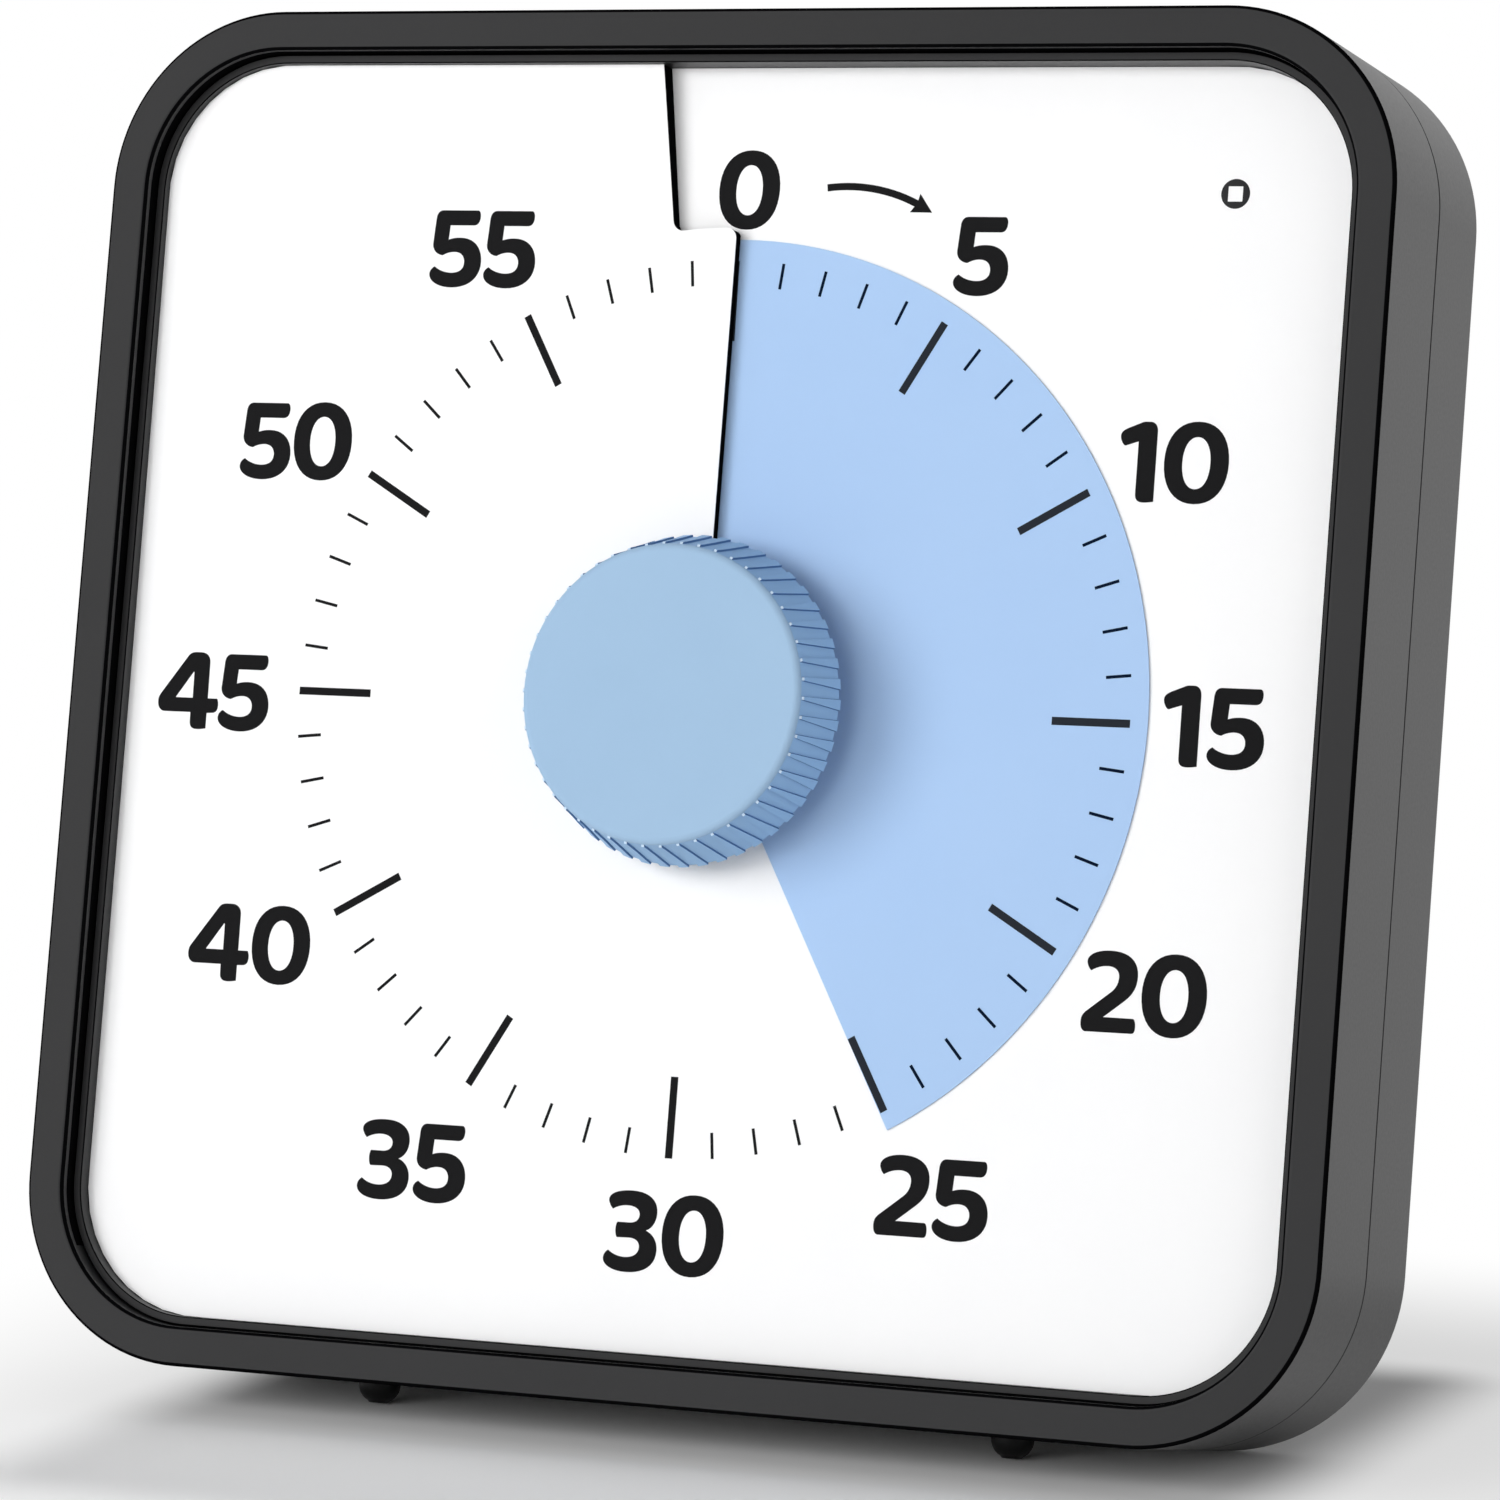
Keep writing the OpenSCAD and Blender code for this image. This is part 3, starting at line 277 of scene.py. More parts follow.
FINE_INK = finish("disc_fine_ink", "06152a", "031126", 0.6, 0.05, 0.6, Specular_IOR_Level=0.05)
# Painted shade: a flat black given to edges, gaps and walls that sit in the shadow of the parts
# around them.
PAINTED_SHADE_BLACK = finish("painted_shade_black", "0a0a0b", "060607", 0.7, 0.1, 0.6, Specular_IOR_Level=0.0)
# Knob skirt: a lighter, bluer copy of the knob's colour, painted bounce light for its shaded side.
SKIRT_PAINTED_BOUNCE = finish("knob_skirt_painted_bounce", "a0c5ea", "9abfe5", 0.55, 0.1, 0.5, Specular_IOR_Level=0.05)
# Rib walls: a darker blue, painted shade in the creases beside the ribs.
RIB_WALL_SHADE = finish("rib_wall_painted_shade", "587cab", "5276a5", 0.6, 0.05, 0.5, Specular_IOR_Level=0.05)
# Blunt rib ends: a pale glossy blue, a painted highlight.
RIB_PAINTED_GLINT = finish("rib_end_painted_glint", "cfe3f6", "c6dcf2", 0.3, 0.05, 0.5, Specular_IOR_Level=0.5)
LAMP_LENS = finish("lamp_lens", "f2f1e8", "e9e8dc", 0.15, 0.02, 0.3, Coat_Weight=0.5)

slot_of = {p["node"]: p["material_slot"] for p in frame["record"]["subparts"]}
for node, obj in frame["nodes"].items():
    if not obj.material_slots:
        obj.data.materials.append(None)
    for held in obj.material_slots:
        held.material = FINISH[slot_of[node]]


# ---- mesh making ----------------------------------------------------------------------
def make(name, points, faces):
    mesh = bpy.data.meshes.new(name)
    mesh.from_pydata([tuple(p) for p in points], [], [tuple(f) for f in faces])
    obj = bpy.data.objects.new(name, mesh)
    bpy.context.scene.collection.objects.link(obj)
    return obj


def tidy(obj, merge=1e-4):
    """Merges doubled points and turns the faces outwards."""
    bm = bmesh.new()
    bm.from_mesh(obj.data)
    bmesh.ops.remove_doubles(bm, verts=bm.verts, dist=merge)
    bmesh.ops.recalc_face_normals(bm, faces=bm.faces)
    bm.to_mesh(obj.data)
    bm.free()
    return obj


def plain(obj):
    """Applies the live modifiers and leaves a plain mesh."""
    bpy.context.view_layer.update()
    solved = obj.evaluated_get(bpy.context.evaluated_depsgraph_get())
    mesh = bpy.data.meshes.new_from_object(solved)
    obj.modifiers.clear()
    obj.data = mesh
    return obj


def move(obj, at, degrees=0, axis="X"):
    """Turns a shape about an axis through the origin, and then shifts it."""
    turn = Matrix.Rotation(math.radians(degrees), 4, axis)
    obj.data.transform(Matrix.Translation(at) @ turn)
    return obj


def cut(obj, *tools, how="DIFFERENCE"):
    """Cuts the tools out of a solid, or joins them to it, one after another."""
    for tool in tools:
        step = obj.modifiers.new("cut", "BOOLEAN")
        step.operation = how
        step.solver = "EXACT"
        step.object = tool
        plain(obj)
        bpy.data.objects.remove(tool)
    return obj


def weld(obj, *tools):
    return cut(obj, *tools, how="UNION")


def dress(obj, body, slot, *nodes, paint=None, sharp=35):
    """Stands a finished shape up, shades it, gives it the slot's finish if it has neither paint nor a
    finish of its own, ties it to its body, and hides the nodes it stands in for.
    """
    obj.data.transform(STAND)
    if paint or not obj.data.materials:
        obj.data.materials.clear()
        obj.data.materials.append(paint or FINISH[slot])
    obj.data.shade_smooth()
    obj.data.set_sharp_from_angle(angle=math.radians(sharp))
    level = obj.modifiers.new("level", "WEIGHTED_NORMAL")
    level.mode = "FACE_AREA"
    level.weight = 100
    level.keep_sharp = True
    plain(obj)
    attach(obj, body)
    if nodes:
        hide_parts(*nodes)
    return obj


def trim(obj, paint, rule):
    """Gives the faces that the rule picks, by their middle and normal, a second finish; here
    that is always painted shade, painted bounce light or a painted highlight.
    """
    if not obj.data.materials:
        obj.data.materials.append(FINISH["case_plastic"])
    obj.data.materials.append(paint)
    for face in obj.data.polygons:
        if rule(face.center, face.normal):
            face.material_index = len(obj.data.materials) - 1
    return obj


def inset(p):
    """How far a point lies inside the rounded square of the case, seen from the front."""
    return CORNER_R - math.hypot(max(abs(p.x) - ARC, 0), max(abs(p.y) - ARC, 0))


def arc(x, y, r, a0, a1, n):
    """Points on an arc, from angle a0 to a1 in degrees."""
    return [(x + r * math.cos(math.radians(a0 + (a1 - a0) * i / n)),
             y + r * math.sin(math.radians(a0 + (a1 - a0) * i / n))) for i in range(n + 1)]


def clock(a, r):
    return r * math.sin(math.radians(a)), r * math.cos(math.radians(a))


def loft(name, rings, wrap=False):
    """Skin over rings of as many points each, closed by end faces or on itself."""
    n = len(rings[0])
    points = [p for ring in rings for p in ring]
    faces = []
    for i in range(len(rings) if wrap else len(rings) - 1):
        j = (i + 1) % len(rings)
        for k in range(n):
            m = (k + 1) % n
            faces.append((i * n + k, i * n + m, j * n + m, j * n + k))
    if not wrap:
        faces.append(tuple(range(n)))
        faces.append(tuple(range((len(rings) - 1) * n, len(rings) * n)))
    return tidy(make(name, points, faces))


def plan_ring(by, z, n=28):
    """Rounded square of the case, drawn in from its side."""
    ring = []
    for k, (sx, sy) in enumerate(((1, 1), (-1, 1), (-1, -1), (1, -1))):
        ring += [(x, y, z) for x, y in
                 arc(sx * ARC, sy * ARC, CORNER_R - by, 90 * k, 90 * k + 90, n)]
    return ring


def box_ring(x, y, r, z, n=5):
    """Rectangle with rounded corners, from two spans."""
    ring = []
    spots = ((x[1] - r, y[1] - r), (x[0] + r, y[1] - r), (x[0] + r, y[0] + r),
             (x[1] - r, y[0] + r))
    for k, (cx, cy) in enumerate(spots):
        ring += [(px, py, z) for px, py in arc(cx, cy, r, 90 * k, 90 * k + 90, n)]
    return ring


def grown(x, y, by):
    return (x[0] - by, x[1] + by), (y[0] - by, y[1] + by)


def block(name, x, y, z, r=0.5):
    return loft(name, [box_ring(x, y, r, z[0]), box_ring(x, y, r, z[1])])


def pocket(name, x, y, deep, r, lip=0.35):
    """Cutter for a pocket in the back face, with a small rounding round its mouth."""
    rings = [box_ring(*grown(x, y, lip + 0.8), r + lip + 0.8, -0.8)]
    for i in range(5):
        a = math.radians(90 * i / 4)
        by, z = lip * (1 - math.sin(a)), lip * (1 - math.cos(a))
        rings.append(box_ring(*grown(x, y, by), r + by, z))
    rings.append(box_ring(x, y, r, deep))
    return loft(name, rings)


def turned(name, profile, at=(0, 0), n=64):
    """Solid of revolution about Z from (radius, height) points; zero radii close it."""
    rings = []
    for r, z in profile:
        rings.append([(at[0] + max(r, 1e-5) * math.cos(2 * math.pi * k / n),
                       at[1] + max(r, 1e-5) * math.sin(2 * math.pi * k / n), z)
                      for k in range(n)])
    return loft(name, rings)


def span(mid, half):
    return mid - half, mid + half


def square(at, half):
    return span(at[0], half), span(at[1], half)


# ---- repeated features ----------------------------------------------------------------
SOCKET = {float: "NodeSocketFloat", int: "NodeSocketInt"}


class Tree:
    """A Geometry Nodes tree with named inputs, which ends in Realize and Set Material."""

    def __init__(self, name, sizes, takes_mesh=False):
        self.group = bpy.data.node_groups.new(name, "GeometryNodeTree")
        face = self.group.interface
        face.new_socket("Geometry", in_out="OUTPUT", socket_type="NodeSocketGeometry")
        if takes_mesh:
            face.new_socket("Geometry", in_out="INPUT", socket_type="NodeSocketGeometry")
        self.ids = {}
        for key, value in sizes.items():
            made = face.new_socket(key, in_out="INPUT", socket_type=SOCKET[type(value)])
            made.default_value = value
            self.ids[key] = made.identifier
        made = face.new_socket("Finish", in_out="INPUT", socket_type="NodeSocketMaterial")
        self.ids["Finish"] = made.identifier
        self.start = self.add("NodeGroupInput")

    def add(self, kind, **settings):
        node = self.group.nodes.new(kind)
        for key, value in settings.items():
            setattr(node, key, value)
        return node

    def join(self, source, node, socket):
        """source is an input's name, a number or vector, or an output socket."""
        if isinstance(source, str):
            self.group.links.new(self.start.outputs[source], node.inputs[socket])
        elif isinstance(source, bpy.types.NodeSocket):
            self.group.links.new(source, node.inputs[socket])
        else:
            node.inputs[socket].default_value = source

    def sum(self, operation, *terms):
        node = self.add("ShaderNodeMath", operation=operation)
        for i, term in enumerate(terms):
            self.join(term, node, i)
        return node.outputs[0]

    def vector(self, x=0.0, y=0.0, z=0.0):
        node = self.add("ShaderNodeCombineXYZ")
        for i, term in enumerate((x, y, z)):
            self.join(term, node, i)
        return node.outputs[0]

    def end(self, geometry):
        real = self.add("GeometryNodeRealizeInstances")
        coat = self.add("GeometryNodeSetMaterial")
        stop = self.add("NodeGroupOutput")
        self.join(geometry, real, "Geometry")
        self.join(real.outputs[0], coat, "Geometry")
        self.join("Finish", coat, "Material")
        self.join(coat.outputs[0], stop, 0)

    def grow(self, name, paint, base=None, **sizes):
        """Runs the tree once and gives back a plain mesh object."""
        obj = base or make(name, [], [])
        step = obj.modifiers.new("grow", "NODES")
        step.node_group = self.group
        for key, value in sizes.items():
            step[self.ids[key.replace("_", " ")]] = value
        step[self.ids["Finish"]] = paint
        return plain(obj)


def copies(tree, points, shape, turn=None, pick=None):
    node = tree.add("GeometryNodeInstanceOnPoints")
    tree.join(points, node, "Points")
    tree.join(shape, node, "Instance")
    if turn is not None:
        tree.join(turn, node, "Rotation")
    if pick is not None:
        tree.join(pick, node, "Selection")
    return node.outputs[0]


def tick_tree():
    """Bars round a ramp: one every step, without those whose number divides by Leave Out."""
    t = Tree("tick_ring", {
        "First": 1, "Count": 59, "Step": 6.0, "Leave Out": 5, "Inner": 57.9, "Length": 3.5,
        "Width": 0.4, "Thickness": 0.03, "Ramp Middle": 32.5, "Ramp Rise": 2.0})
    line = t.add("GeometryNodeMeshLine")
    t.join("Count", line, "Count")
    number = t.sum("ADD", t.add("GeometryNodeInputIndex").outputs[0], "First")
    degrees = t.sum("MULTIPLY", number, "Step")
    part = t.sum("SUBTRACT", t.sum("DIVIDE", degrees, 360.0), 0.5)
    height = t.sum("ADD", t.sum("MULTIPLY", part, "Ramp Rise"), "Ramp Middle")
    put = t.add("GeometryNodeSetPosition")
    t.join(line.outputs[0], put, "Geometry")
    t.join(t.vector(0.0, 0.0, height), put, "Position")
    rest = t.sum("FLOORED_MODULO", number, "Leave Out")
    keep = t.add("FunctionNodeCompare", data_type="FLOAT", operation="GREATER_THAN")
    t.join(rest, keep, 0)
    keep.inputs[1].default_value = 0.5
    bar = t.add("GeometryNodeMeshCube")
    t.join(t.vector("Width", "Length", "Thickness"), bar, "Size")
    shift = t.add("GeometryNodeTransform")
    t.join(bar.outputs[0], shift, "Geometry")
    middle = t.sum("ADD", "Inner", t.sum("MULTIPLY", "Length", 0.5))
    t.join(t.vector(0.0, middle, t.sum("MULTIPLY", "Thickness", 0.5)), shift, "Translation")
    turn = t.sum("MULTIPLY", degrees, -math.pi / 180)
    t.end(copies(t, put.outputs[0], shift.outputs[0], t.vector(0.0, 0.0, turn),
                 keep.outputs[0]))
    return t


def leaf_tree():
    """Ramp-shaped leaf: a sheet of even thickness that climbs as it goes round."""
    t = Tree("ramp_leaf", {
        "Steps": 179, "Inner": 9.0, "Outer": 64.0, "First Angle": 0.0, "Span": 356.0,
        "Ramp Middle": 32.5, "Ramp Rise": 2.0, "Thickness": 0.35})
    grid = t.add("GeometryNodeMeshGrid")
    t.join("Steps", grid, "Vertices X")
    grid.inputs["Vertices Y"].default_value = 6
    split = t.add("ShaderNodeSeparateXYZ")
    t.join(t.add("GeometryNodeInputPosition").outputs[0], split, 0)
    along = t.sum("ADD", split.outputs[0], 0.5)
    out = t.sum("ADD", split.outputs[1], 0.5)
    degrees = t.sum("ADD", t.sum("MULTIPLY", along, "Span"), "First Angle")
    radius = t.sum("ADD", t.sum("MULTIPLY", out, t.sum("SUBTRACT", "Outer", "Inner")), "Inner")
    angle = t.sum("RADIANS", degrees)
    part = t.sum("SUBTRACT", t.sum("DIVIDE", degrees, 360.0), 0.5)
    put = t.add("GeometryNodeSetPosition")
    t.join(grid.outputs[0], put, "Geometry")
    t.join(t.vector(t.sum("MULTIPLY", t.sum("SINE", angle), radius),
                    t.sum("MULTIPLY", t.sum("COSINE", angle), radius),
                    t.sum("ADD", t.sum("MULTIPLY", part, "Ramp Rise"), "Ramp Middle")),
           put, "Position")
    back = t.add("GeometryNodeExtrudeMesh", mode="FACES")
    back.inputs["Individual"].default_value = False
    t.join(put.outputs[0], back, "Mesh")
    t.join(t.vector(0.0, 0.0, t.sum("MULTIPLY", "Thickness", -1.0)), back, "Offset")
    flip = t.add("GeometryNodeFlipFaces")
    t.join(back.outputs[0], flip, "Mesh")
    both = t.add("GeometryNodeJoinGeometry")
    t.join(put.outputs[0], both, 0)
    t.join(flip.outputs[0], both, 0)
    seal = t.add("GeometryNodeMergeByDistance")
    seal.inputs["Distance"].default_value = 0.001
    t.join(both.outputs[0], seal, "Geometry")
    t.end(seal.outputs[0])
    return t


def sector_tree():
    """Turns one sector round Z until it closes on itself."""
    t = Tree("turned_sectors", {"Count": KNOB_RIBS}, takes_mesh=True)
    line = t.add("GeometryNodeMeshLine")
    t.join("Count", line, "Count")
    line.inputs["Offset"].default_value = (0, 0, 0)
    step = t.sum("DIVIDE", -2 * math.pi, "Count")
    angle = t.sum("MULTIPLY", t.add("GeometryNodeInputIndex").outputs[0], step)
    ring = copies(t, line.outputs[0], t.start.outputs["Geometry"], t.vector(0.0, 0.0, angle))
    real = t.add("GeometryNodeRealizeInstances")
    t.join(ring, real, "Geometry")
    seal = t.add("GeometryNodeMergeByDistance")
    seal.inputs["Distance"].default_value = 0.002
    t.join(real.outputs[0], seal, "Geometry")
    t.end(seal.outputs[0])
    return t


def row_tree():
    """Even row of one shape along a direction."""
    t = Tree("even_row", {"Count": 7, "Step X": 0.0, "Step Y": 0.8, "Start X": 0.0,
                          "Start Y": 0.0}, takes_mesh=True)
    line = t.add("GeometryNodeMeshLine")
    t.join("Count", line, "Count")
    t.join(t.vector("Start X", "Start Y", 0.0), line, "Start Location")
    t.join(t.vector("Step X", "Step Y", 0.0), line, "Offset")
    t.end(copies(t, line.outputs[0], t.start.outputs["Geometry"]))
    return t


def corner_tree():
    """One shape at each corner of a rectangle."""
    t = Tree("at_corners", {"Half X": SCREW_AT, "Half Y": SCREW_AT, "Columns": 2, "Rows": 2},
             takes_mesh=True)
    grid = t.add("GeometryNodeMeshGrid")
    t.join(t.sum("MULTIPLY", "Half X", 2.0), grid, "Size X")
    t.join(t.sum("MULTIPLY", "Half Y", 2.0), grid, "Size Y")
    t.join("Columns", grid, "Vertices X")
    t.join("Rows", grid, "Vertices Y")
    t.end(copies(t, grid.outputs[0], t.start.outputs["Geometry"]))
    return t


def bore_tree():
    """Rings of round bores about a middle one, six more in each ring."""
    t = Tree("bore_rings", {"Pitch": 3.6, "Bore": 1.0, "Long": 5.0})
    pin = t.add("GeometryNodeMeshCylinder")
    pin.inputs["Vertices"].default_value = 24
    t.join("Bore", pin, "Radius")
    t.join("Long", pin, "Depth")
    both = t.add("GeometryNodeJoinGeometry")
    for ring in (1, 2):
        loop = t.add("GeometryNodeMeshCircle")
        loop.inputs["Vertices"].default_value = 6 * ring
        t.join(t.sum("MULTIPLY", "Pitch", float(ring)), loop, "Radius")
        t.join(copies(t, loop.outputs[0], pin.outputs[0]), both, 0)
    t.join(pin.outputs[0], both, 0)
    t.end(both.outputs[0])
    return t


TICKS = tick_tree()
LEAF = leaf_tree()
SECTORS = sector_tree()
ROW = row_tree()
CORNERS = corner_tree()
BORES = bore_tree()


# ---- dial -----------------------------------------------------------------------------
def dial_z(a, r):
    """Height of the dial's face; outside RISE_R the ramp goes on as a flat sheet would."""
    return DIAL_Z + DIAL_RISE * max(1, r / RISE_R) * (a / 360 - 0.5)


def dial_edge(a):
    """Distance from the middle to the rounded edge of the dial, along a clock angle."""
    s, c = abs(math.sin(math.radians(a))), abs(math.cos(math.radians(a)))
    half = HALF - DIAL_IN
    flat = min(half / max(s, 1e-6), half / max(c, 1e-6))
    if flat * s > ARC and flat * c > ARC:
        dot = ARC * (s + c)
        return dot + math.sqrt(dot * dot - 2 * ARC * ARC + (CORNER_R - DIAL_IN) ** 2)
    return flat


def dial_plate():
    """One sheet that climbs once round from the slit, white on top; below a thin white top its cut
    edges, and its underside, are painted black as shade.
    """
    angles = sorted({-SLIT_JOG, -SLIT_NEAR, 0.0, SLIT_TURN, SLIT_TURN + SLIT_NEAR,
                     360 - SLIT_NEAR, 360.0} | {1.5 * k for k in range(1, 240)})
    angles = [a for a in angles if not SLIT_TURN < a < SLIT_TURN + SLIT_NEAR]
    col = {a: i for i, a in enumerate(angles)}
    inner = [DIAL_HOLE_R, 20, 35, 50, RISE_R, SLIT_R - SLIT_ROUND, SLIT_R]
    outer = [0.0, 0.25, 0.5, 0.75, 1.0]
    rows = len(inner) + len(outer)
    split = len(inner) - 1

    def radius(a, j):
        start = SLIT_R + SLIT_ROUND
        return inner[j] if j <= split else start + (dial_edge(a) - start) * outer[j - split - 1]

    points = [(a, radius(a, j)) for a in angles for j in range(rows)]
    faces = []
    for i, (a, b) in enumerate(zip(angles, angles[1:])):
        for j in range(rows - 1):
            inside = j < split
            if inside and a < 0 and not (a == -SLIT_NEAR and j == split - 1):
                continue
            if not inside and b > SLIT_TURN + 1e-6:
                continue
            if inside and a == 360 - SLIT_NEAR and j == split - 1:
                continue
            here, ahead = i * rows + j, (i + 1) * rows + j
            faces.append((here, ahead, ahead + 1, here + 1))

    def at(a, j):
        return col[a] * rows + j

    def corner(middle, middle_at, ends, start, stop, steps=8):
        """Rounded corner: a fan about one grid point, between two others."""
        base = len(points)
        for k in range(1, steps):
            t = math.radians(start + (stop - start) * k / steps)
            points.append((middle[0] + SLIT_NEAR * math.cos(t),
                           middle[1] + SLIT_ROUND * math.sin(t)))
        ring = [ends[0], *range(base, len(points)), ends[1]]
        faces.extend((middle_at, p, q) for p, q in zip(ring, ring[1:]))

    # rounded end of the upper sheet at the top of the inner slit
    corner((360 - SLIT_NEAR, SLIT_R - SLIT_ROUND), at(360 - SLIT_NEAR, split - 1),
           (at(360.0, split - 1), at(360 - SLIT_NEAR, split)), 0, 90)
    # web in the inward corner at the foot of the outer slit
    corner((SLIT_TURN + SLIT_NEAR, SLIT_R + SLIT_ROUND), at(SLIT_TURN, split),
           (at(SLIT_TURN + SLIT_NEAR, split), at(SLIT_TURN, split + 1)), 270, 180)

    used = sorted({k for f in faces for k in f})
    new = {k: i for i, k in enumerate(used)}
    faces = [tuple(new[k] for k in f) for f in faces]
    n = len(used)
    layers = [(*clock(*points[k]), dial_z(*points[k]) - drop)
              for drop in (0, WHITE_T, DIAL_T) for k in used]
    edges = dict.fromkeys(e for f in faces for e in zip(f, f[1:] + f[:1]))
    rim = [(a, b) for a, b in edges if (b, a) not in edges]
    back = [tuple(2 * n + k for k in reversed(f)) for f in faces]
    white_side = [(b, a, n + a, n + b) for a, b in rim]
    painted_shade_side = [(n + b, n + a, 2 * n + a, 2 * n + b) for a, b in rim]
    skin = faces + white_side + back + painted_shade_side
    obj = make("dial_sheet", layers, skin)
    obj.data.materials.append(FINISH["dial_white"])
    obj.data.materials.append(PAINTED_SHADE_BLACK)
    # Painted shade: the cut edges below the white top, and the underside, are black so that the step
    # at the slit shows as a shadowed gap.
    for poly in obj.data.polygons[len(faces) + len(rim):]:
        poly.material_index = 1
    return tidy(obj)


def bow(t0, t1, n):
    """Round corner of the slit, as steps of clock angle and radius."""
    turns = [math.radians(t0 + (t1 - t0) * i / n) for i in range(n + 1)]
    return [(SLIT_NEAR * math.cos(t), SLIT_ROUND * math.sin(t)) for t in turns]


def slit_shade_riser():
    """Black riser under the upper sheet's edge, painted shade that stands for the dark gap there:
    down to the lower sheet along the outer slit, and down to just above the disc along the inner one."""
    top = dial_edge(SLIT_TURN)
    long = top - SLIT_R - SLIT_ROUND
    path = [(SLIT_TURN, top - 0.05 - long * i / 12) for i in range(12)]
    path += [(SLIT_TURN + SLIT_NEAR + a, SLIT_R + SLIT_ROUND + r)
             for a, r in bow(180, 270, 6)]
    path += [(SLIT_TURN + SLIT_NEAR + (SLIT_JOG - 2 * SLIT_NEAR) * i / 4, SLIT_R)
             for i in range(1, 5)]
    path += [(360 - SLIT_NEAR + a, SLIT_R - SLIT_ROUND + r) for a, r in bow(75, 0, 5)]
    path += [(360.0, r) for r in (63.8, 60.0, 50.0, 40.0, 30.0, 20.0, 11.0)]
    flat = [Vector(clock(a, r)) for a, r in path]
    rings = []
    for i, (a, r) in enumerate(path):
        ahead = flat[min(i + 1, len(flat) - 1)] - flat[max(i - 1, 0)]
        side = Vector((ahead.y, -ahead.x)).normalized()
        face, rear = flat[i] + side * 0.04, flat[i] + side * 0.5
        high = dial_z(a, r) - DIAL_T + 0.02
        over_disc = r < DISC_R + 0.4
        low = dial_z(a - 360, r) + (DISC_GAP + DISC_T + 0.12 if over_disc else -0.06)
        rings.append([(face.x, face.y, low), (face.x, face.y, high), (rear.x, rear.y, high),
                      (rear.x, rear.y, low)])
    return loft("slit_shade_riser", rings)


dress(dial_plate(), "case", "dial_white", "dial_plate")
# Painted shade: a black riser fills the slit's gap, where there would be only shade.
dress(slit_shade_riser(), "case", "black_plastic", paint=PAINTED_SHADE_BLACK)

leaf = LEAF.grow("time_disc", FINISH["blue_disc"], Inner=HUB_R, Outer=DISC_R,
                 First_Angle=DISC_END - DISC_SPAN, Span=DISC_SPAN,
                 Ramp_Middle=DISC_TOP, Ramp_Rise=DIAL_RISE, Thickness=DISC_T)
dress(leaf, "disc", "blue_disc", "colour_disc")


# ---- print on the dial and the disc ---------------------------------------------------
def marks(name, body, level, at, paint, first, count, step, leave_out, share, wide):
    """Printed bars that end at the print's rim; share is their length over its radius."""
    piece = TICKS.grow(name, paint, First=first, Count=count, Step=step, Leave_Out=leave_out,
                       Inner=(1 - share) * PRINT_R, Length=share * PRINT_R, Width=wide,
                       Thickness=INK_T, Ramp_Middle=level, Ramp_Rise=DIAL_RISE)
    dress(move(piece, (*at, 0)), body, "black_plastic", paint=paint)


def ticks(name, body, level, at, majors, minors, first, count):
    """A mark for each minute from the first one on, longer at every fifth but the zero."""
    low, high = math.ceil(first / 5), math.floor((first + count - 1) / 5)
    marks(name + "_long", body, level, at, majors, low, 1 + high - low, 30.0, 100, 0.18, 1.08)
    marks(name + "_short", body, level, at, minors, first, count, 6.0, 5, 0.0576, 0.42)


ticks("dial_ticks", "case", DIAL_Z, PRINT_AT, INK, INK, 1, 59)
ticks("disc_ticks", "disc", DISC_TOP, DISC_PRINT_AT, DISC_INK, FINE_INK, -34, 60)
# The disc's mark that rests at the slit, nearly all of it under the upper sheet's edge.
marks("disc_ticks_slit", "disc", DISC_TOP, DISC_PRINT_AT, DISC_INK, -1, 1, 0.7, 100, 0.18,
      1.08)

# Figures as drawn in their own square units, y down: the middle, the outline, the openings

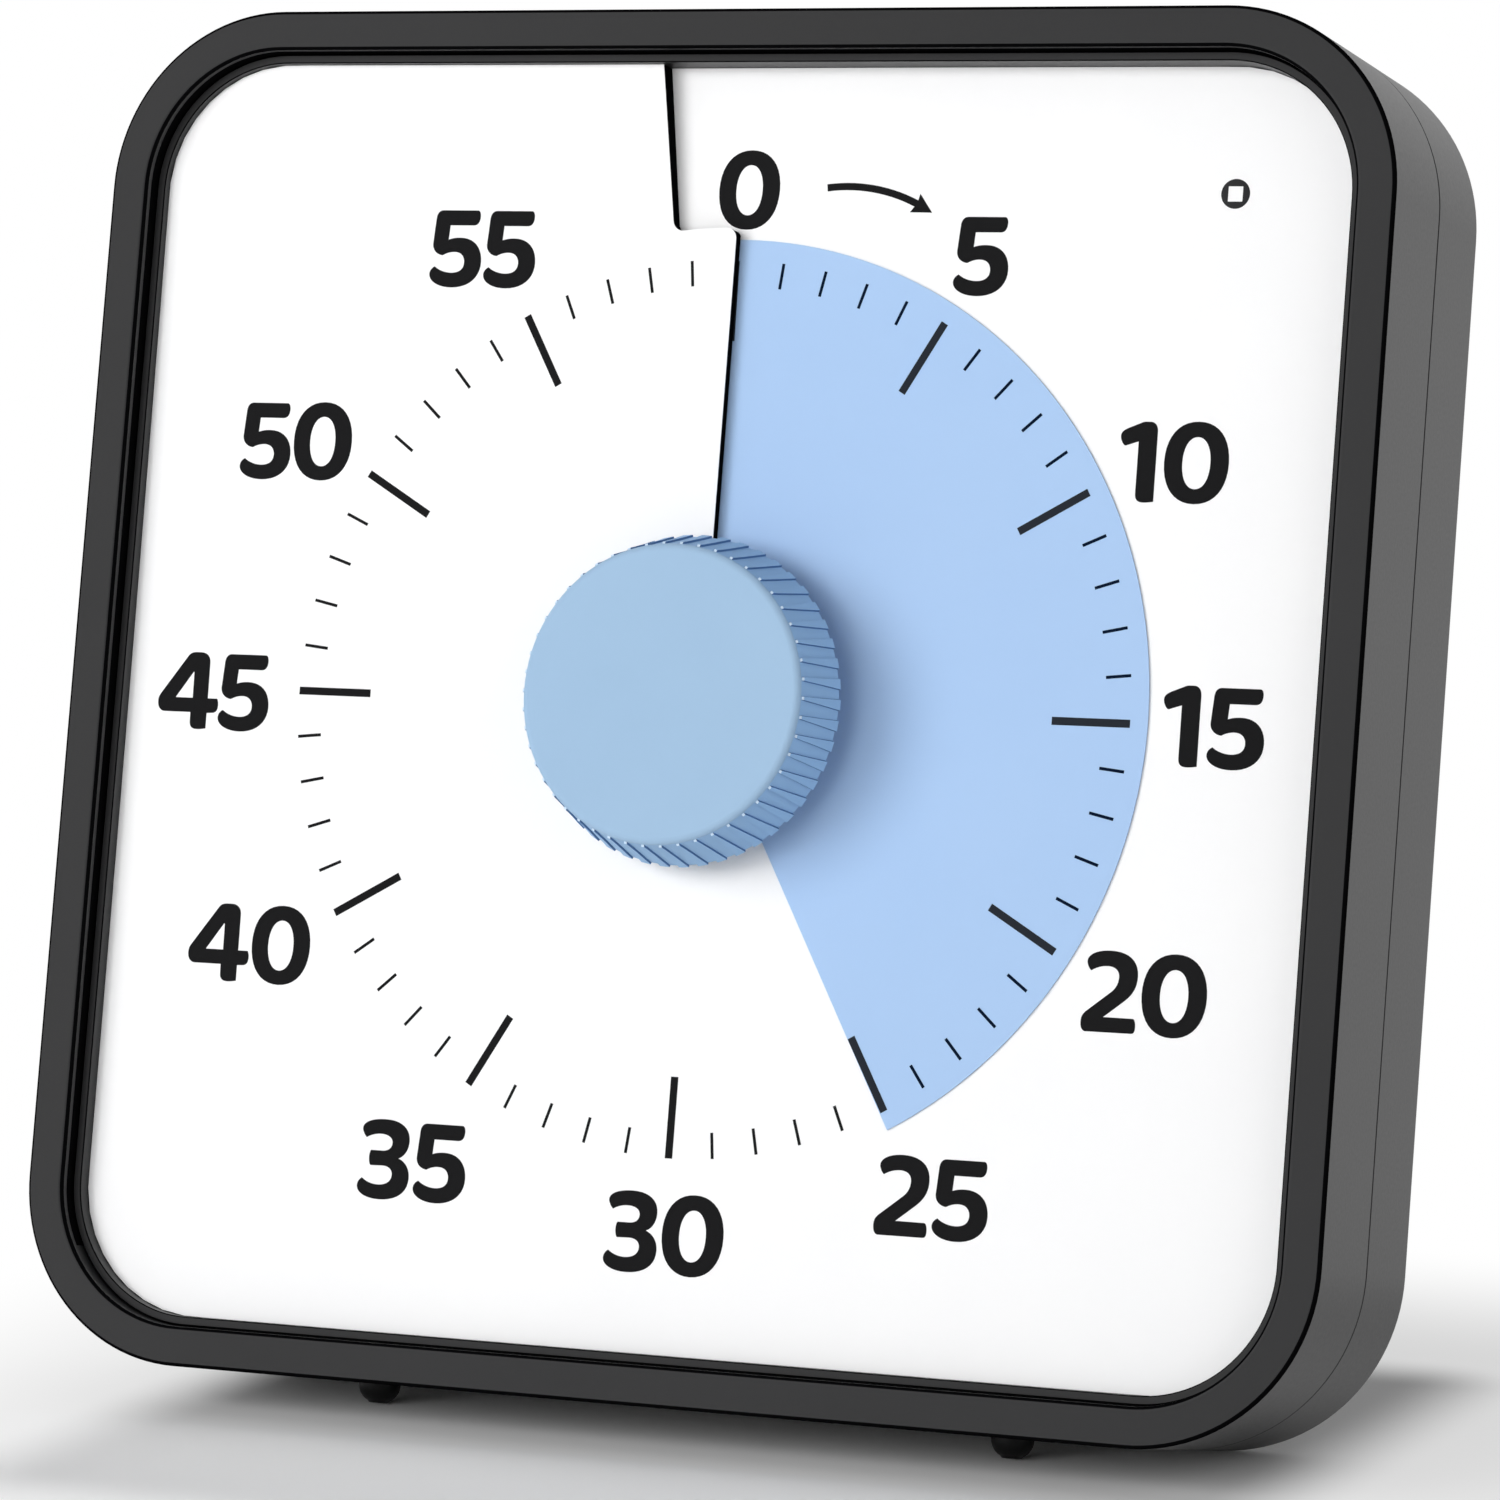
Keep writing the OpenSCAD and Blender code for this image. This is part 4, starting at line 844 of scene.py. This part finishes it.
FIGURES = {
    "0": ((298.5, 318.5),
          "M 298 45 C 440 45 527 150 527 318 C 527 486 440 592 298 592 C 156 592 70 486 70 318"
          " C 70 150 156 45 298 45",
          "M 298 147 C 358 147 397 216 397 320 C 397 424 358 493 298 493 C 238 493 198 424 198"
          " 320 C 198 216 238 147 298 147"),
    "1": ((298.5, 318.6),
          "M 340 50 L 372 50 C 405 50 427 75 427 115 L 430 580 C 400 586 370 588 355 587 C 315"
          " 586 298 568 298 525 L 296 182 L 206 211 C 190 214 168 175 167 148 C 167 120 190 105"
          " 222 92 L 305 59 C 315 54 330 50 340 50"),
    "2": ((299, 322.5),
          "M 156 190 C 140 180 125 150 125 130 C 125 85 190 55 285 55 C 410 55 487 110 487 215"
          " C 487 300 450 345 385 395 L 262 491 L 470 492 C 485 492 492 520 492 545 C 492 575"
          " 485 590 465 590 L 140 590 C 115 585 106 560 106 530 C 106 500 110 485 135 460 L 300"
          " 330 C 340 300 355 265 355 225 C 355 180 320 157 270 157 C 225 157 190 170 156 190"),
    "3": ((300, 323.5),
          "M 150 180 C 132 165 116 135 116 120 C 116 75 185 50 285 50 C 415 50 482 105 482 190"
          " C 482 250 450 295 407 311 C 460 330 497 375 497 440 C 497 540 415 597 280 597 C 165"
          " 597 103 555 103 512 C 103 485 120 465 137 456 C 170 482 215 497 262 497 C 325 497"
          " 365 470 365 425 C 365 388 335 366 285 366 L 195 368 C 185 360 180 335 180 315 C 180"
          " 295 185 268 192 265 L 280 265 C 325 265 352 243 352 208 C 352 172 315 151 258 151"
          " C 215 151 180 163 150 180"),
    "4": ((296.5, 320.6),
          "M 275 75 C 290 58 310 52 345 52 L 370 52 C 420 52 448 80 448 125 L 450 372 L 525 372"
          " C 532 385 536 400 536 418 C 536 455 520 472 490 472 L 450 474 L 450 582 C 420 588"
          " 390 590 375 589 C 340 588 322 570 322 535 L 320 472 L 115 472 C 80 472 57 445 57"
          " 405 C 57 375 62 365 80 340 L 275 75",
          "M 318 196 C 322 188 328 188 328 200 L 330 372 L 193 372 L 318 196"),
    "5": ((299.5, 324),
          "M 180 56 L 450 56 C 465 60 470 80 470 95 C 470 135 455 160 420 160 L 240 160 L 233"
          " 260 C 260 250 290 246 325 246 C 430 246 497 310 497 415 C 497 525 410 592 280 592"
          " C 165 592 102 545 102 500 C 102 475 120 455 140 447 C 175 475 225 490 272 490 C 330"
          " 490 366 465 366 418 C 366 372 335 345 285 345 C 255 345 225 352 195 369 C 150 365"
          " 115 335 115 290 L 128 110 C 132 75 150 56 180 56"),
}
FIGURE_X = 0.019795
FIGURE_Y = 0.02017
# Each figure's place on the dial, as a share of PRINT_R
NUMBERS = (
    ("0", 0.0064, 1.1616), ("5", 0.5752, 1.0160), ("1", 0.9728, 0.5696), ("0", 1.1072, 0.5704),
    ("1", 1.1160, 0.0), ("5", 1.2424, -0.0024), ("2", 1.0, -0.5776), ("0", 1.1456, -0.5800),
    ("2", 0.5576, -1.0448), ("5", 0.6944, -1.0480), ("3", -0.0752, -1.1656),
    ("0", 0.0720, -1.1664), ("3", -0.6920, -1.0464), ("5", -0.5528, -1.0480),
    ("4", -1.1520, -0.5808), ("0", -0.9952, -0.5808), ("4", -1.2824, -0.0096),
    ("5", -1.1400, -0.0112), ("5", -1.1352, 0.5688), ("0", -0.9912, 0.5712),
    ("5", -0.6904, 1.0168), ("5", -0.5552, 1.0160),
)


def outline(path, n=10):
    """Points along an outline of straight runs and curves."""
    words = path.split()
    points, i = [], 0
    while i < len(words):
        kind, i = words[i], i + 1
        count = 6 if kind == "C" else 2
        v = [float(w) for w in words[i:i + count]]
        i += count
        if kind == "C":
            p = [Vector(points[-1])] + [Vector(v[k:k + 2]) for k in (0, 2, 4)]
            for k in range(1, n + 1):
                t = k / n
                q = ((1 - t) ** 3 * p[0] + 3 * t * (1 - t) ** 2 * p[1]
                     + 3 * t * t * (1 - t) * p[2] + t ** 3 * p[3])
                points.append((q.x, q.y))
        else:
            points.append((v[0], v[1]))
    return points[:-1]


def inked(name, shapes):
    """Thin print on the dial: each shape is an outline and its openings, in millimetres."""
    points, faces = [], []
    for loops in shapes:
        flat = [Vector((x + PRINT_AT[0], y + PRINT_AT[1], 0)) for loop in loops for x, y in loop]
        base, n = len(points), len(flat)
        for lift in (INK_T, -0.01):
            for p in flat:
                a = math.degrees(math.atan2(p.x, p.y))
                low = p.y > SLIT_R - 2 and -SLIT_JOG < a < 0
                a = a if a >= 0 or low else a + 360
                points.append((p.x, p.y, dial_z(a, p.length) + lift))
        for f in tessellate_polygon([[Vector((x, y, 0)) for x, y in loop] for loop in loops]):
            faces.append(tuple(base + k for k in f))
            faces.append(tuple(base + n + k for k in reversed(f)))
        first = 0
        for loop in loops:
            for k in range(len(loop)):
                a, b = first + k, first + (k + 1) % len(loop)
                faces.append((base + a, base + b, base + n + b, base + n + a))
            first += len(loop)
    return tidy(make(name, points, faces), 1e-5)


def figure(kind, x, y):
    middle = FIGURES[kind][0]
    return [[(x * PRINT_R + (px - middle[0]) * FIGURE_X, y * PRINT_R - (py - middle[1]) * FIGURE_Y)
             for px, py in outline(path)] for path in FIGURES[kind][1:]]


def arrow():
    """Bent arrow that points the way the dial counts."""
    x, y, r, half = 14.97, 48.0, 23.83, 0.5

    def bend(side, a0, a1, n=14):
        return [(x + (r + side) * math.sin(math.radians(a0 + (a1 - a0) * k / n)),
                 y + (r + side) * math.cos(math.radians(a0 + (a1 - a0) * k / n)))
                for k in range(n + 1)]

    head = [bend(1.42, 25.0, 25.0, 1)[0], bend(0.05, 31.8, 31.8, 1)[0],
            bend(-1.45, 24.7, 24.7, 1)[0]]
    return [bend(half, -7.3, 25.4) + head + bend(-half, 25.2, -7.3)]


dress(inked("dial_numbers", [figure(*n) for n in NUMBERS]), "case", "black_plastic", paint=INK)
dress(inked("dial_arrow", [arrow()]), "case", "black_plastic", paint=INK)


# ---- shells ---------------------------------------------------------------------------
def peg_bores():
    tools = []
    for x in (-FOOT_X, FOOT_X):
        rod = turned("bore", [(0, -1), (1.65, -1), (1.65, WALL + 1), (0, WALL + 1)], n=24)
        tools.append(move(rod, (x, -HALF, SPLIT_Z), -90))
    return tools


def front_shell():
    foot = SPLIT_Z + SEAM_GAP
    profile = [(SEAM, foot), (0, foot + SEAM)]
    profile += [(EDGE_R - u, CASE_D - EDGE_R + v) for u, v in arc(0, 0, EDGE_R, 0, 90, 8)]
    profile += [(BEZEL_W - LIP_R + u, CASE_D - LIP_R + v) for u, v in arc(0, 0, LIP_R, 90, 0, 7)]
    profile += [(BEZEL_W, LIP_PAINTED_SHADE_Z), (BEZEL_W, BAR_Z), (WALL, BAR_Z), (WALL, foot)]
    shell = loft("front_shell", [plan_ring(u, z) for u, z in profile], wrap=True)
    cut(shell, *peg_bores())

    def dark(at, way):
        """Painted shade: the outer edge's rounding, the lip's rounding, and the wall below the lip
        except where it faces up and catches the light.
        """
        if at.z > CASE_D - EDGE_R and inset(at) < EDGE_R:
            return way.z < 0.97
        if not BEZEL_W - LIP_R < inset(at) < BEZEL_W + 0.1 or at.z < BAR_Z:
            return False
        return 0.3 < way.z < 0.9 or (at.z < LIP_PAINTED_SHADE_Z and way.y < 0.5)

    return trim(shell, PAINTED_SHADE_BLACK, dark)


def inner_trim():
    edge = 0.15
    profile = [(RING_IN, RING_Z - edge), (RING_IN - edge, RING_Z), (RING_OUT + edge, RING_Z),
               (RING_OUT, RING_Z - edge), (RING_OUT, BAR_Z - 0.05),
               (RING_BACK, BAR_Z - 0.05), (RING_BACK, CHASSIS_Z), (RING_IN, CHASSIS_Z)]
    ring = loft("inner_trim", [plan_ring(u, z) for u, z in profile], wrap=True)
    # Painted shade: the ring's inner chamfer is black for the dark line between the ring and the
    # dial.
    return trim(ring, PAINTED_SHADE_BLACK, lambda at, way: at.z > RING_Z - edge and 0.2 < way.z < 0.9)


def rear_shell():
    head = SPLIT_Z - SEAM_GAP
    rim = WALL + 0.1
    root = WALL - 0.5
    profile = [(REAR_EDGE_R - u, REAR_EDGE_R - v) for u, v in arc(0, 0, REAR_EDGE_R, 90, 0, 8)]
    profile += [(0, head - SEAM), (SEAM, head), (rim, head), (rim, SPLIT_Z + 2)]
    shell = loft("rear_shell", [plan_ring(u, z) for u, z in profile])
    hollow = loft("hollow", [plan_ring(WALL + 1.3, WALL), plan_ring(WALL + 1.3, SPLIT_Z + 4)])
    cut(shell, hollow)
    bay = block("bay", *grown((-BAY_X, BAY_X), BAY_Y, BAY_WALL), (root, BAY_D + BAY_WALL))
    well = block("well", span(0, POCKET_X + 3), (-HALF + 2, POCKET_Y[1] + 2),
                 (root, POCKET_D + 2))
    scoop = turned("scoop", [(0, root), (NOTCH_R + 2, root), (NOTCH_R + 2, POCKET_D + 1.9),
                             (0, POCKET_D + 1.9)], (0, POCKET_Y[1]))
    post = turned("post", [(0, WALL - 0.4), (4.8, WALL - 0.4), (4.8, SPLIT_Z - 0.03),
                           (0, SPLIT_Z - 0.03)], n=40)
    posts = CORNERS.grow("posts", FINISH["case_plastic"], base=post)
    weld(shell, bay, well, scoop, posts)
    cut(shell, *peg_bores())
    cut(shell, pocket("seat", *grown((-DOOR_X, DOOR_X), DOOR_Y, 0.1), DOOR_T + 0.1, 1.2, 0.25))
    cut(shell, block("bay", span(0, BAY_X), BAY_Y, (-1, BAY_D), 1.0))
    cut(shell, pocket("foot_well", span(0, POCKET_X), POCKET_Y, POCKET_D, 0.8))
    cut(shell, turned("thumb", [(0, -1), (NOTCH_R + 0.5, -1), (NOTCH_R + 0.35, 0),
                                (NOTCH_R + 0.1, 0.12), (NOTCH_R, 0.35), (NOTCH_R, 3.0),
                                (NOTCH_R - 0.4, 3.4), (0, 3.4)], (0, POCKET_Y[1])))
    bore = turned("bore", [(0, -1), (3.9, -1), (3.5, 0), (3.28, 0.08), (3.2, 0.3), (3.2, 3.0),
                           (1.7, 3.0), (1.7, SPLIT_Z + 1), (0, SPLIT_Z + 1)], n=40)
    cut(shell, CORNERS.grow("bores", FINISH["case_plastic"], base=bore))
    cut(shell, move(BORES.grow("sound_holes", FINISH["case_plastic"]), (*SOUNDER, 1.2)))
    x, y = SWITCH
    cut(shell, pocket("thumb_well", span(x, 9), span(y, 4.5), 1.5, 1.0, 0.25))
    cut(shell, block("slot", span(x, 4.5), span(y, 1.4), (-1, WALL + 1), 0.3))
    cut(shell, pocket("key_slot", span(0, 2), (HANGER_Y - 8, HANGER_Y + 2), WALL + 2, 1.95, 0.25))
    cut(shell, turned("key_hole", [(0, -1), (4.5, -1), (4.25, 0), (4.06, 0.08), (4, 0.25),
                                   (4, WALL + 2), (0, WALL + 2)], (0, HANGER_Y - 8)))
    weld(shell, block("foot_rest", span(0, POCKET_X + 0.5), (POCKET_Y[0] - 0.8, -84.31),
                      (0.2, 0.8), 0.2))
    return tidy(shell)


dress(front_shell(), "case", "case_plastic", "front_case")
dress(inner_trim(), "case", "case_plastic", "trim_ring")
dress(rear_shell(), "case", "case_plastic", "rear_case")


# ---- knob -----------------------------------------------------------------------------
def knob():
    """One rib's sector from the middle of the face round the skirt to the bore. The rib is
    a raised wedge: it starts blunt below the face's rounded edge and widens to the base."""
    pitch = 360 / KNOB_RIBS
    side_top = KNOB_FACE_Z - KNOB_EDGE_R
    edge = KNOB_FACE_R + KNOB_EDGE_R - 0.05
    start = 0.16
    hub_r, hub_end, bore_top = 6.0, -0.7, 7
    # each row: radius, height, how high the rib stands and how wide it is, of one pitch
    rows = [(r, KNOB_FACE_Z, 0, start) for r in (0.0, 8.0, 15.0)]
    rows += [(KNOB_FACE_R + r, side_top + z, 0, start)
             for r, z in arc(0, 0, KNOB_EDGE_R, 90, 22.5, 6)]
    rows += [(edge - 0.02, side_top + 0.27, 0, start),
             (edge, side_top + 0.13, RIB_H, start),
             (edge + 0.2, side_top - 0.8, RIB_H, start + 0.05),
             (edge + 0.95, KNOB_BASE_Z + 4.0, RIB_H, 0.33),
             (KNOB_BASE_R, KNOB_BASE_Z + 0.15, RIB_H, 0.5),
             (KNOB_BASE_R - 0.15, KNOB_BASE_Z, RIB_H, 0.5)]
    rows += [(r, KNOB_BASE_Z + z, 0, 0.5) for r, z in (
        (14.0, 0), (hub_r, 0), (hub_r, hub_end), (KNOB_BORE_R, hub_end),
        (KNOB_BORE_R, bore_top), (0.0, bore_top))]
    points, faces = [], []
    for r, z, high, wide in rows:
        near, far = 0.5 - wide / 2, 0.5 + wide / 2
        for mark, lift in ((0, 0), (near - RIB_SIDE, 0), (near, high), (0.5, high),
                           (far, high), (far + RIB_SIDE, 0), (1, 0)):
            points.append((*clock(RIB_TURN + pitch * mark, r + lift), z))
    n = len(points) // len(rows)
    for i in range(len(rows) - 1):
        for k in range(i * n, i * n + n - 1):
            faces.append((k, k + 1, k + n + 1, k + n))
    sector = make("sector", points, faces)
    ribbed = SECTORS.grow("knob", FINISH["blue_knob"], base=sector, Count=KNOB_RIBS)
    ribbed.name = "ribbed_knob"
    tidy(ribbed, 0.002)

    # Painted bounce light: the skirt gets a lighter, bluer copy of the knob's colour for the blue
    # light its shaded side would catch.
    def skirt(at, way):
        return math.hypot(at.x, at.y) > KNOB_FACE_R and KNOB_BASE_Z < at.z < side_top + 0.4

    # Painted shade: the rib walls get a darker blue for the shade in the creases beside the ribs.
    def wall(at, way):
        r = math.hypot(at.x, at.y)
        return r > 15 and abs(way.x * at.y - way.y * at.x) > 0.5 * r and at.z > KNOB_BASE_Z

    # Painted highlight: the blunt upward-facing ends of the ribs get a pale glossy blue glint.
    def painted_glint_end(at, way):
        return side_top + 0.1 < at.z < side_top + 0.3 and way.z > 0.5

    return trim(trim(trim(ribbed, SKIRT_PAINTED_BOUNCE, skirt), RIB_WALL_SHADE, wall), RIB_PAINTED_GLINT, painted_glint_end)


dress(knob(), "dial", "blue_knob", "knob", sharp=32)


# ---- lamp -----------------------------------------------------------------------------
def lamp():
    a, r = math.degrees(math.atan2(*LAMP)), math.hypot(*LAMP)
    top = dial_z(a, r) + 0.05
    sleeve = turned("lamp_sleeve", [(0, 25.4), (LAMP_R, 25.4), (LAMP_R, top - 0.12),
                                    (LAMP_R - 0.04, top - 0.03), (LAMP_R - 0.14, top),
                                    (0, top)], LAMP)
    cut(sleeve, block("seat", *square(LAMP, 1.03), (top - 0.8, top + 1), 0.1))
    dress(sleeve, "case", "black_plastic", "lamp_holder")
    x, y = square(LAMP, 1.0)
    chip = loft("lamp_body", [box_ring(x, y, 0.12, top - 0.8), box_ring(x, y, 0.12, top - 0.14),
                              box_ring(*grown(x, y, -0.05), 0.12, top - 0.1)])
    cut(chip, block("window", *square(LAMP, 0.62), (top - 0.3, top + 1), 0.1))
    dress(chip, "case", "lamp_white", "lamp_chip")
    lens = loft("lamp_lens", [box_ring(*square(LAMP, h), 0.1, top + z)
                              for h, z in ((0.54, -0.35), (0.54, -0.15), (0.48, -0.11))])
    dress(lens, "case", "lamp_white", paint=LAMP_LENS)


lamp()


# ---- feet, screws, door, switch and stand ----------------------------------------------
def pegs():
    """Two pegs with a stem in the case and a domed end, side by side under the case."""
    stem = [(0, -WALL - 0.1), (1.6, -WALL - 0.1), (1.6, 0.02)]
    head = [(2.82, 0.02), (2.9, 0.1)] + arc(0.35, 0.5, 2.55, 4, 62, 9)
    end = [(1.42, 2.9), (1.32, 3.01), (1.15, 3.05), (0, 3.05)]
    peg = move(turned("peg_feet", stem + head + end, n=48), (0, -HALF, SPLIT_Z), 90)
    return tidy(CORNERS.grow("peg_feet", FINISH["black_rubber"], base=peg, Half_X=FOOT_X,
                             Half_Y=0.0, Rows=1))


def screws():
    """Case screws: a domed head with a cross recess, and the shank."""
    head = turned("screw_heads", [(0, 1.0), (2.3, 1.0), (2.75, 1.12), (2.9, 1.4), (2.9, 3.0),
                                  (1.4, 3.0), (1.4, 26.4), (0, 26.4)], n=48)
    for x, y in ((1.75, 0.34), (0.34, 1.75)):
        cut(head, loft("blade", [box_ring(span(0, x), span(0, y), 0.1, 0.5),
                                 box_ring(span(0, x), span(0, y), 0.1, 1.0),
                                 box_ring(span(0, x * 0.6), span(0, y * 0.8), 0.1, 2.1)]))
    return tidy(CORNERS.grow("screw_heads", FINISH["steel"], base=head))


def door():
    """Battery door with a soft outer edge, its latch tongue and grooves for the thumb."""
    x, y = span(0, DOOR_X), DOOR_Y
    rings = [box_ring(*grown(x, y, -0.3 + 0.3 * math.sin(math.radians(t))), 1.0,
                      0.3 * (1 - math.cos(math.radians(t)))) for t in (0, 30, 60, 90)]
    rings.append(box_ring(x, y, 1.0, DOOR_T))
    lid = loft("battery_lid", rings)
    weld(lid, block("tongue", (-9, 9), (DOOR_Y[1] - 3.2, DOOR_Y[1] - 1.9),
                    (DOOR_T - 0.1, DOOR_T + 3), 0.3))
    bar = turned("groove", [(0, -6), (0.35, -6), (0.5, -5.8), (0.5, 5.8), (0.35, 6), (0, 6)], n=20)
    move(bar, (0, 0, -0.3), 90, "Y")
    row = ROW.grow("grooves", FINISH["case_plastic"], base=bar, Count=7, Step_Y=0.8001,
                   Start_Y=DOOR_Y[1] - 8 - 2.4)
    return tidy(cut(lid, row))


def slider():
    """Thumb slider: a plate in its well, a stem into the switch and three ridges."""
    x, y = SWITCH
    wide, tall = span(x, 3), span(y, 3.6)
    plate = loft("thumb_slider", [box_ring(*grown(wide, tall, -by), 0.4, z)
                                  for by, z in ((0.15, 0.7), (0, 0.85), (0, 1.4))])
    weld(plate, block("stem", span(x, 1.4), span(y, 1.25), (1.3, WALL + 2.6), 0.2))
    ridge = loft("ridge", [box_ring(span(x - 1.8, h), span(y, l), 0.1, z)
                           for h, l, z in ((0.2, 3.0, 0.2), (0.32, 3.15, 0.28), (0.4, 3.2, 0.8))])
    row = ROW.grow("ridges", FINISH["black_plastic"], base=ridge, Count=3, Step_X=1.8, Step_Y=0.0)
    return tidy(weld(plate, row))


def foot():
    """Fold-out foot, drawn closed along +Y from its hinge and then opened on to the floor."""
    rings = []
    end = STAND_W / 2
    bevel = ((end, 0.5), (end - 0.15, 0.15), (end - 0.5, 0))
    for x, d in [(-x, d) for x, d in bevel] + list(reversed(bevel)):
        half = STAND_T / 2 - d
        barrel = BARREL_R - d
        meet = math.degrees(math.asin(half / barrel))
        ring = [(x, u, v) for u, v in arc(0, 0, barrel, meet, 360 - meet, 24)]
        ring += [(x, u, v) for u, v in arc(STAND_L, 0, half, -90, 90, 10)]
        rings.append(ring)
    leg = loft("fold_out_foot", rings)
    pin = turned("pin", [(0, -40), (1.3, -40), (1.3, 40), (0, 40)], n=32)
    cut(leg, move(pin, (0, 0, 0), 90, "Y"), pocket_panel())
    tip = joint("stand_fold")["range_deg"][1]
    return tidy(move(leg, (0, STAND_Y, STAND_Z), -tip))


def pocket_panel():
    """Shallow recess in the leg's outer face."""
    x, y = span(0, STAND_W / 2 - 5), (8.0, 33.0)
    deep = -STAND_T / 2 + 0.6
    return loft("panel", [box_ring(*grown(x, y, 0.4), 2.4, -STAND_T / 2 - 0.4),
                          box_ring(x, y, 2.0, -STAND_T / 2), box_ring(*grown(x, y, -0.3), 1.7, deep)])


dress(pegs(), "case", "black_rubber", "foot_pegs")
dress(screws(), "case", "steel", "case_screws")
dress(door(), "door", "case_plastic", "battery_door")
dress(slider(), "slider", "black_plastic", "switch_slider")
dress(foot(), "stand", "case_plastic", "kickstand")


# ---- floor and light ------------------------------------------------------------------
def combine(nodes, links, operation, a, b):
    node = nodes.new("ShaderNodeMath")
    node.operation = operation
    links.new(a, node.inputs[0])
    links.new(b, node.inputs[1])
    return node.outputs[0]


def white_rays(nodes, links):
    """The rays that see a white room: those of the camera, and of gloss and glass."""
    path = nodes.new("ShaderNodeLightPath")
    total = path.outputs["Is Camera Ray"]
    for key in ("Is Glossy Ray", "Is Transmission Ray"):
        total = combine(nodes, links, "MAXIMUM", total, path.outputs[key])
    return total


def blended(nodes, links, share, first, second, output):
    """Ends a tree in two shaders: share is how much of the second one shows."""
    mix = nodes.new("ShaderNodeMixShader")
    for i, source in enumerate((share, first.outputs[0], second.outputs[0])):
        links.new(source, mix.inputs[i])
    links.new(mix.outputs[0], nodes.new(output).inputs["Surface"])


def floor():
    """Pale floor that keeps the shadow by the case and turns white away from it."""
    side = 6.0
    sheet = make("floor", [(-side, -side, 0), (side, -side, 0), (side, side, 0), (-side, side, 0)],
                 [(0, 1, 2, 3)])
    mat = bpy.data.materials.new("floor_white")
    nodes, links = blank(mat)
    matt = nodes.new("ShaderNodeBsdfDiffuse")
    matt.inputs["Color"].default_value = (0.93, 0.93, 0.93, 1)
    glow = nodes.new("ShaderNodeEmission")
    glow.inputs["Color"].default_value = (1, 1, 1, 1)
    coord = nodes.new("ShaderNodeTexCoord")

    def vector(operation, source, value=(0, 0, 0)):
        node = nodes.new("ShaderNodeVectorMath")
        node.operation = operation
        links.new(source, node.inputs[0])
        node.inputs[1].default_value = value
        return node.outputs["Value" if operation == "LENGTH" else "Vector"]

    def away(middle, half, near, far, most):
        """Grows from 0 to most with the distance outside a rectangle on the floor."""
        off = vector("ABSOLUTE", vector("SUBTRACT", coord.outputs["Object"], (*middle, 0)))
        past = vector("MAXIMUM", vector("SUBTRACT", off, (*half, 0)))
        fade = nodes.new("ShaderNodeMapRange")
        fade.interpolation_type = "SMOOTHSTEP"
        fade.inputs["From Min"].default_value = near
        fade.inputs["From Max"].default_value = far
        fade.inputs["To Max"].default_value = most
        links.new(vector("LENGTH", past), fade.inputs["Value"])
        return fade.outputs["Result"]

    white = combine(nodes, links, "ADD",
                    away((0.006, -0.013), (0.072, 0.063), 0.0, 0.02, 0.58),
                    away((0.025, -0.013), (0.065, 0.063), 0.02, 0.11, 0.42))
    share = combine(nodes, links, "MULTIPLY", white, white_rays(nodes, links))
    blended(nodes, links, share, matt, glow, "ShaderNodeOutputMaterial")
    sheet.data.materials.append(mat)


def surroundings(ambient):
    """A dim even room, which reflections see as white but for a dark part on one side."""
    world = bpy.data.worlds.new("studio")
    bpy.context.scene.world = world
    nodes, links = blank(world)
    dim, white = (nodes.new("ShaderNodeBackground") for k in range(2))
    dim.inputs["Color"].default_value = (1, 1, 1, 1)
    dim.inputs["Strength"].default_value = ambient
    white.inputs["Color"].default_value = (1, 1, 1, 1)
    side = nodes.new("ShaderNodeVectorMath")
    side.operation = "DOT_PRODUCT"
    side.inputs[1].default_value = (-0.8, 0.6, 0.0)
    links.new(nodes.new("ShaderNodeTexCoord").outputs["Generated"], side.inputs[0])
    room = nodes.new("ShaderNodeMapRange")
    room.interpolation_type = "SMOOTHSTEP"
    for key, value in {"From Min": -0.8, "From Max": -0.2, "To Min": 0.08, "To Max": 1.0}.items():
        room.inputs[key].default_value = value
    links.new(side.outputs["Value"], room.inputs["Value"])
    seen = nodes.new("ShaderNodeLightPath").outputs["Is Camera Ray"]
    lit = combine(nodes, links, "MAXIMUM", room.outputs["Result"], seen)
    links.new(lit, white.inputs["Strength"])
    blended(nodes, links, white_rays(nodes, links), dim, white, "ShaderNodeOutputWorld")


def lamp_panel(name, at, size, watts):
    """Round soft light aimed at the middle of the timer, unseen in reflections."""
    data = bpy.data.lights.new(name, "AREA")
    data.shape = "DISK"
    data.size = size
    data.energy = watts
    obj = bpy.data.objects.new(name, data)
    bpy.context.scene.collection.objects.link(obj)
    way = Vector((0, 0, 0.1)) - Vector(at)
    obj.matrix_world = Matrix.Translation(at) @ way.to_track_quat("-Z", "Y").to_matrix().to_4x4()
    obj.visible_glossy = False
    return obj


floor()
surroundings(0.22)
lamp_panel("key", (-0.8, -1.15, 0.5), 0.8, 11.0)
lamp_panel("front", (-0.1, -1.45, 0.45), 0.9, 5.9)
lamp_panel("fill", (1.2, -0.5, 0.5), 1.4, 3.6)
lamp_panel("rim", (0.65, 1.25, 0.25), 1.6, 1.0).visible_glossy = True

bpy.context.scene.view_settings.view_transform = "Standard"
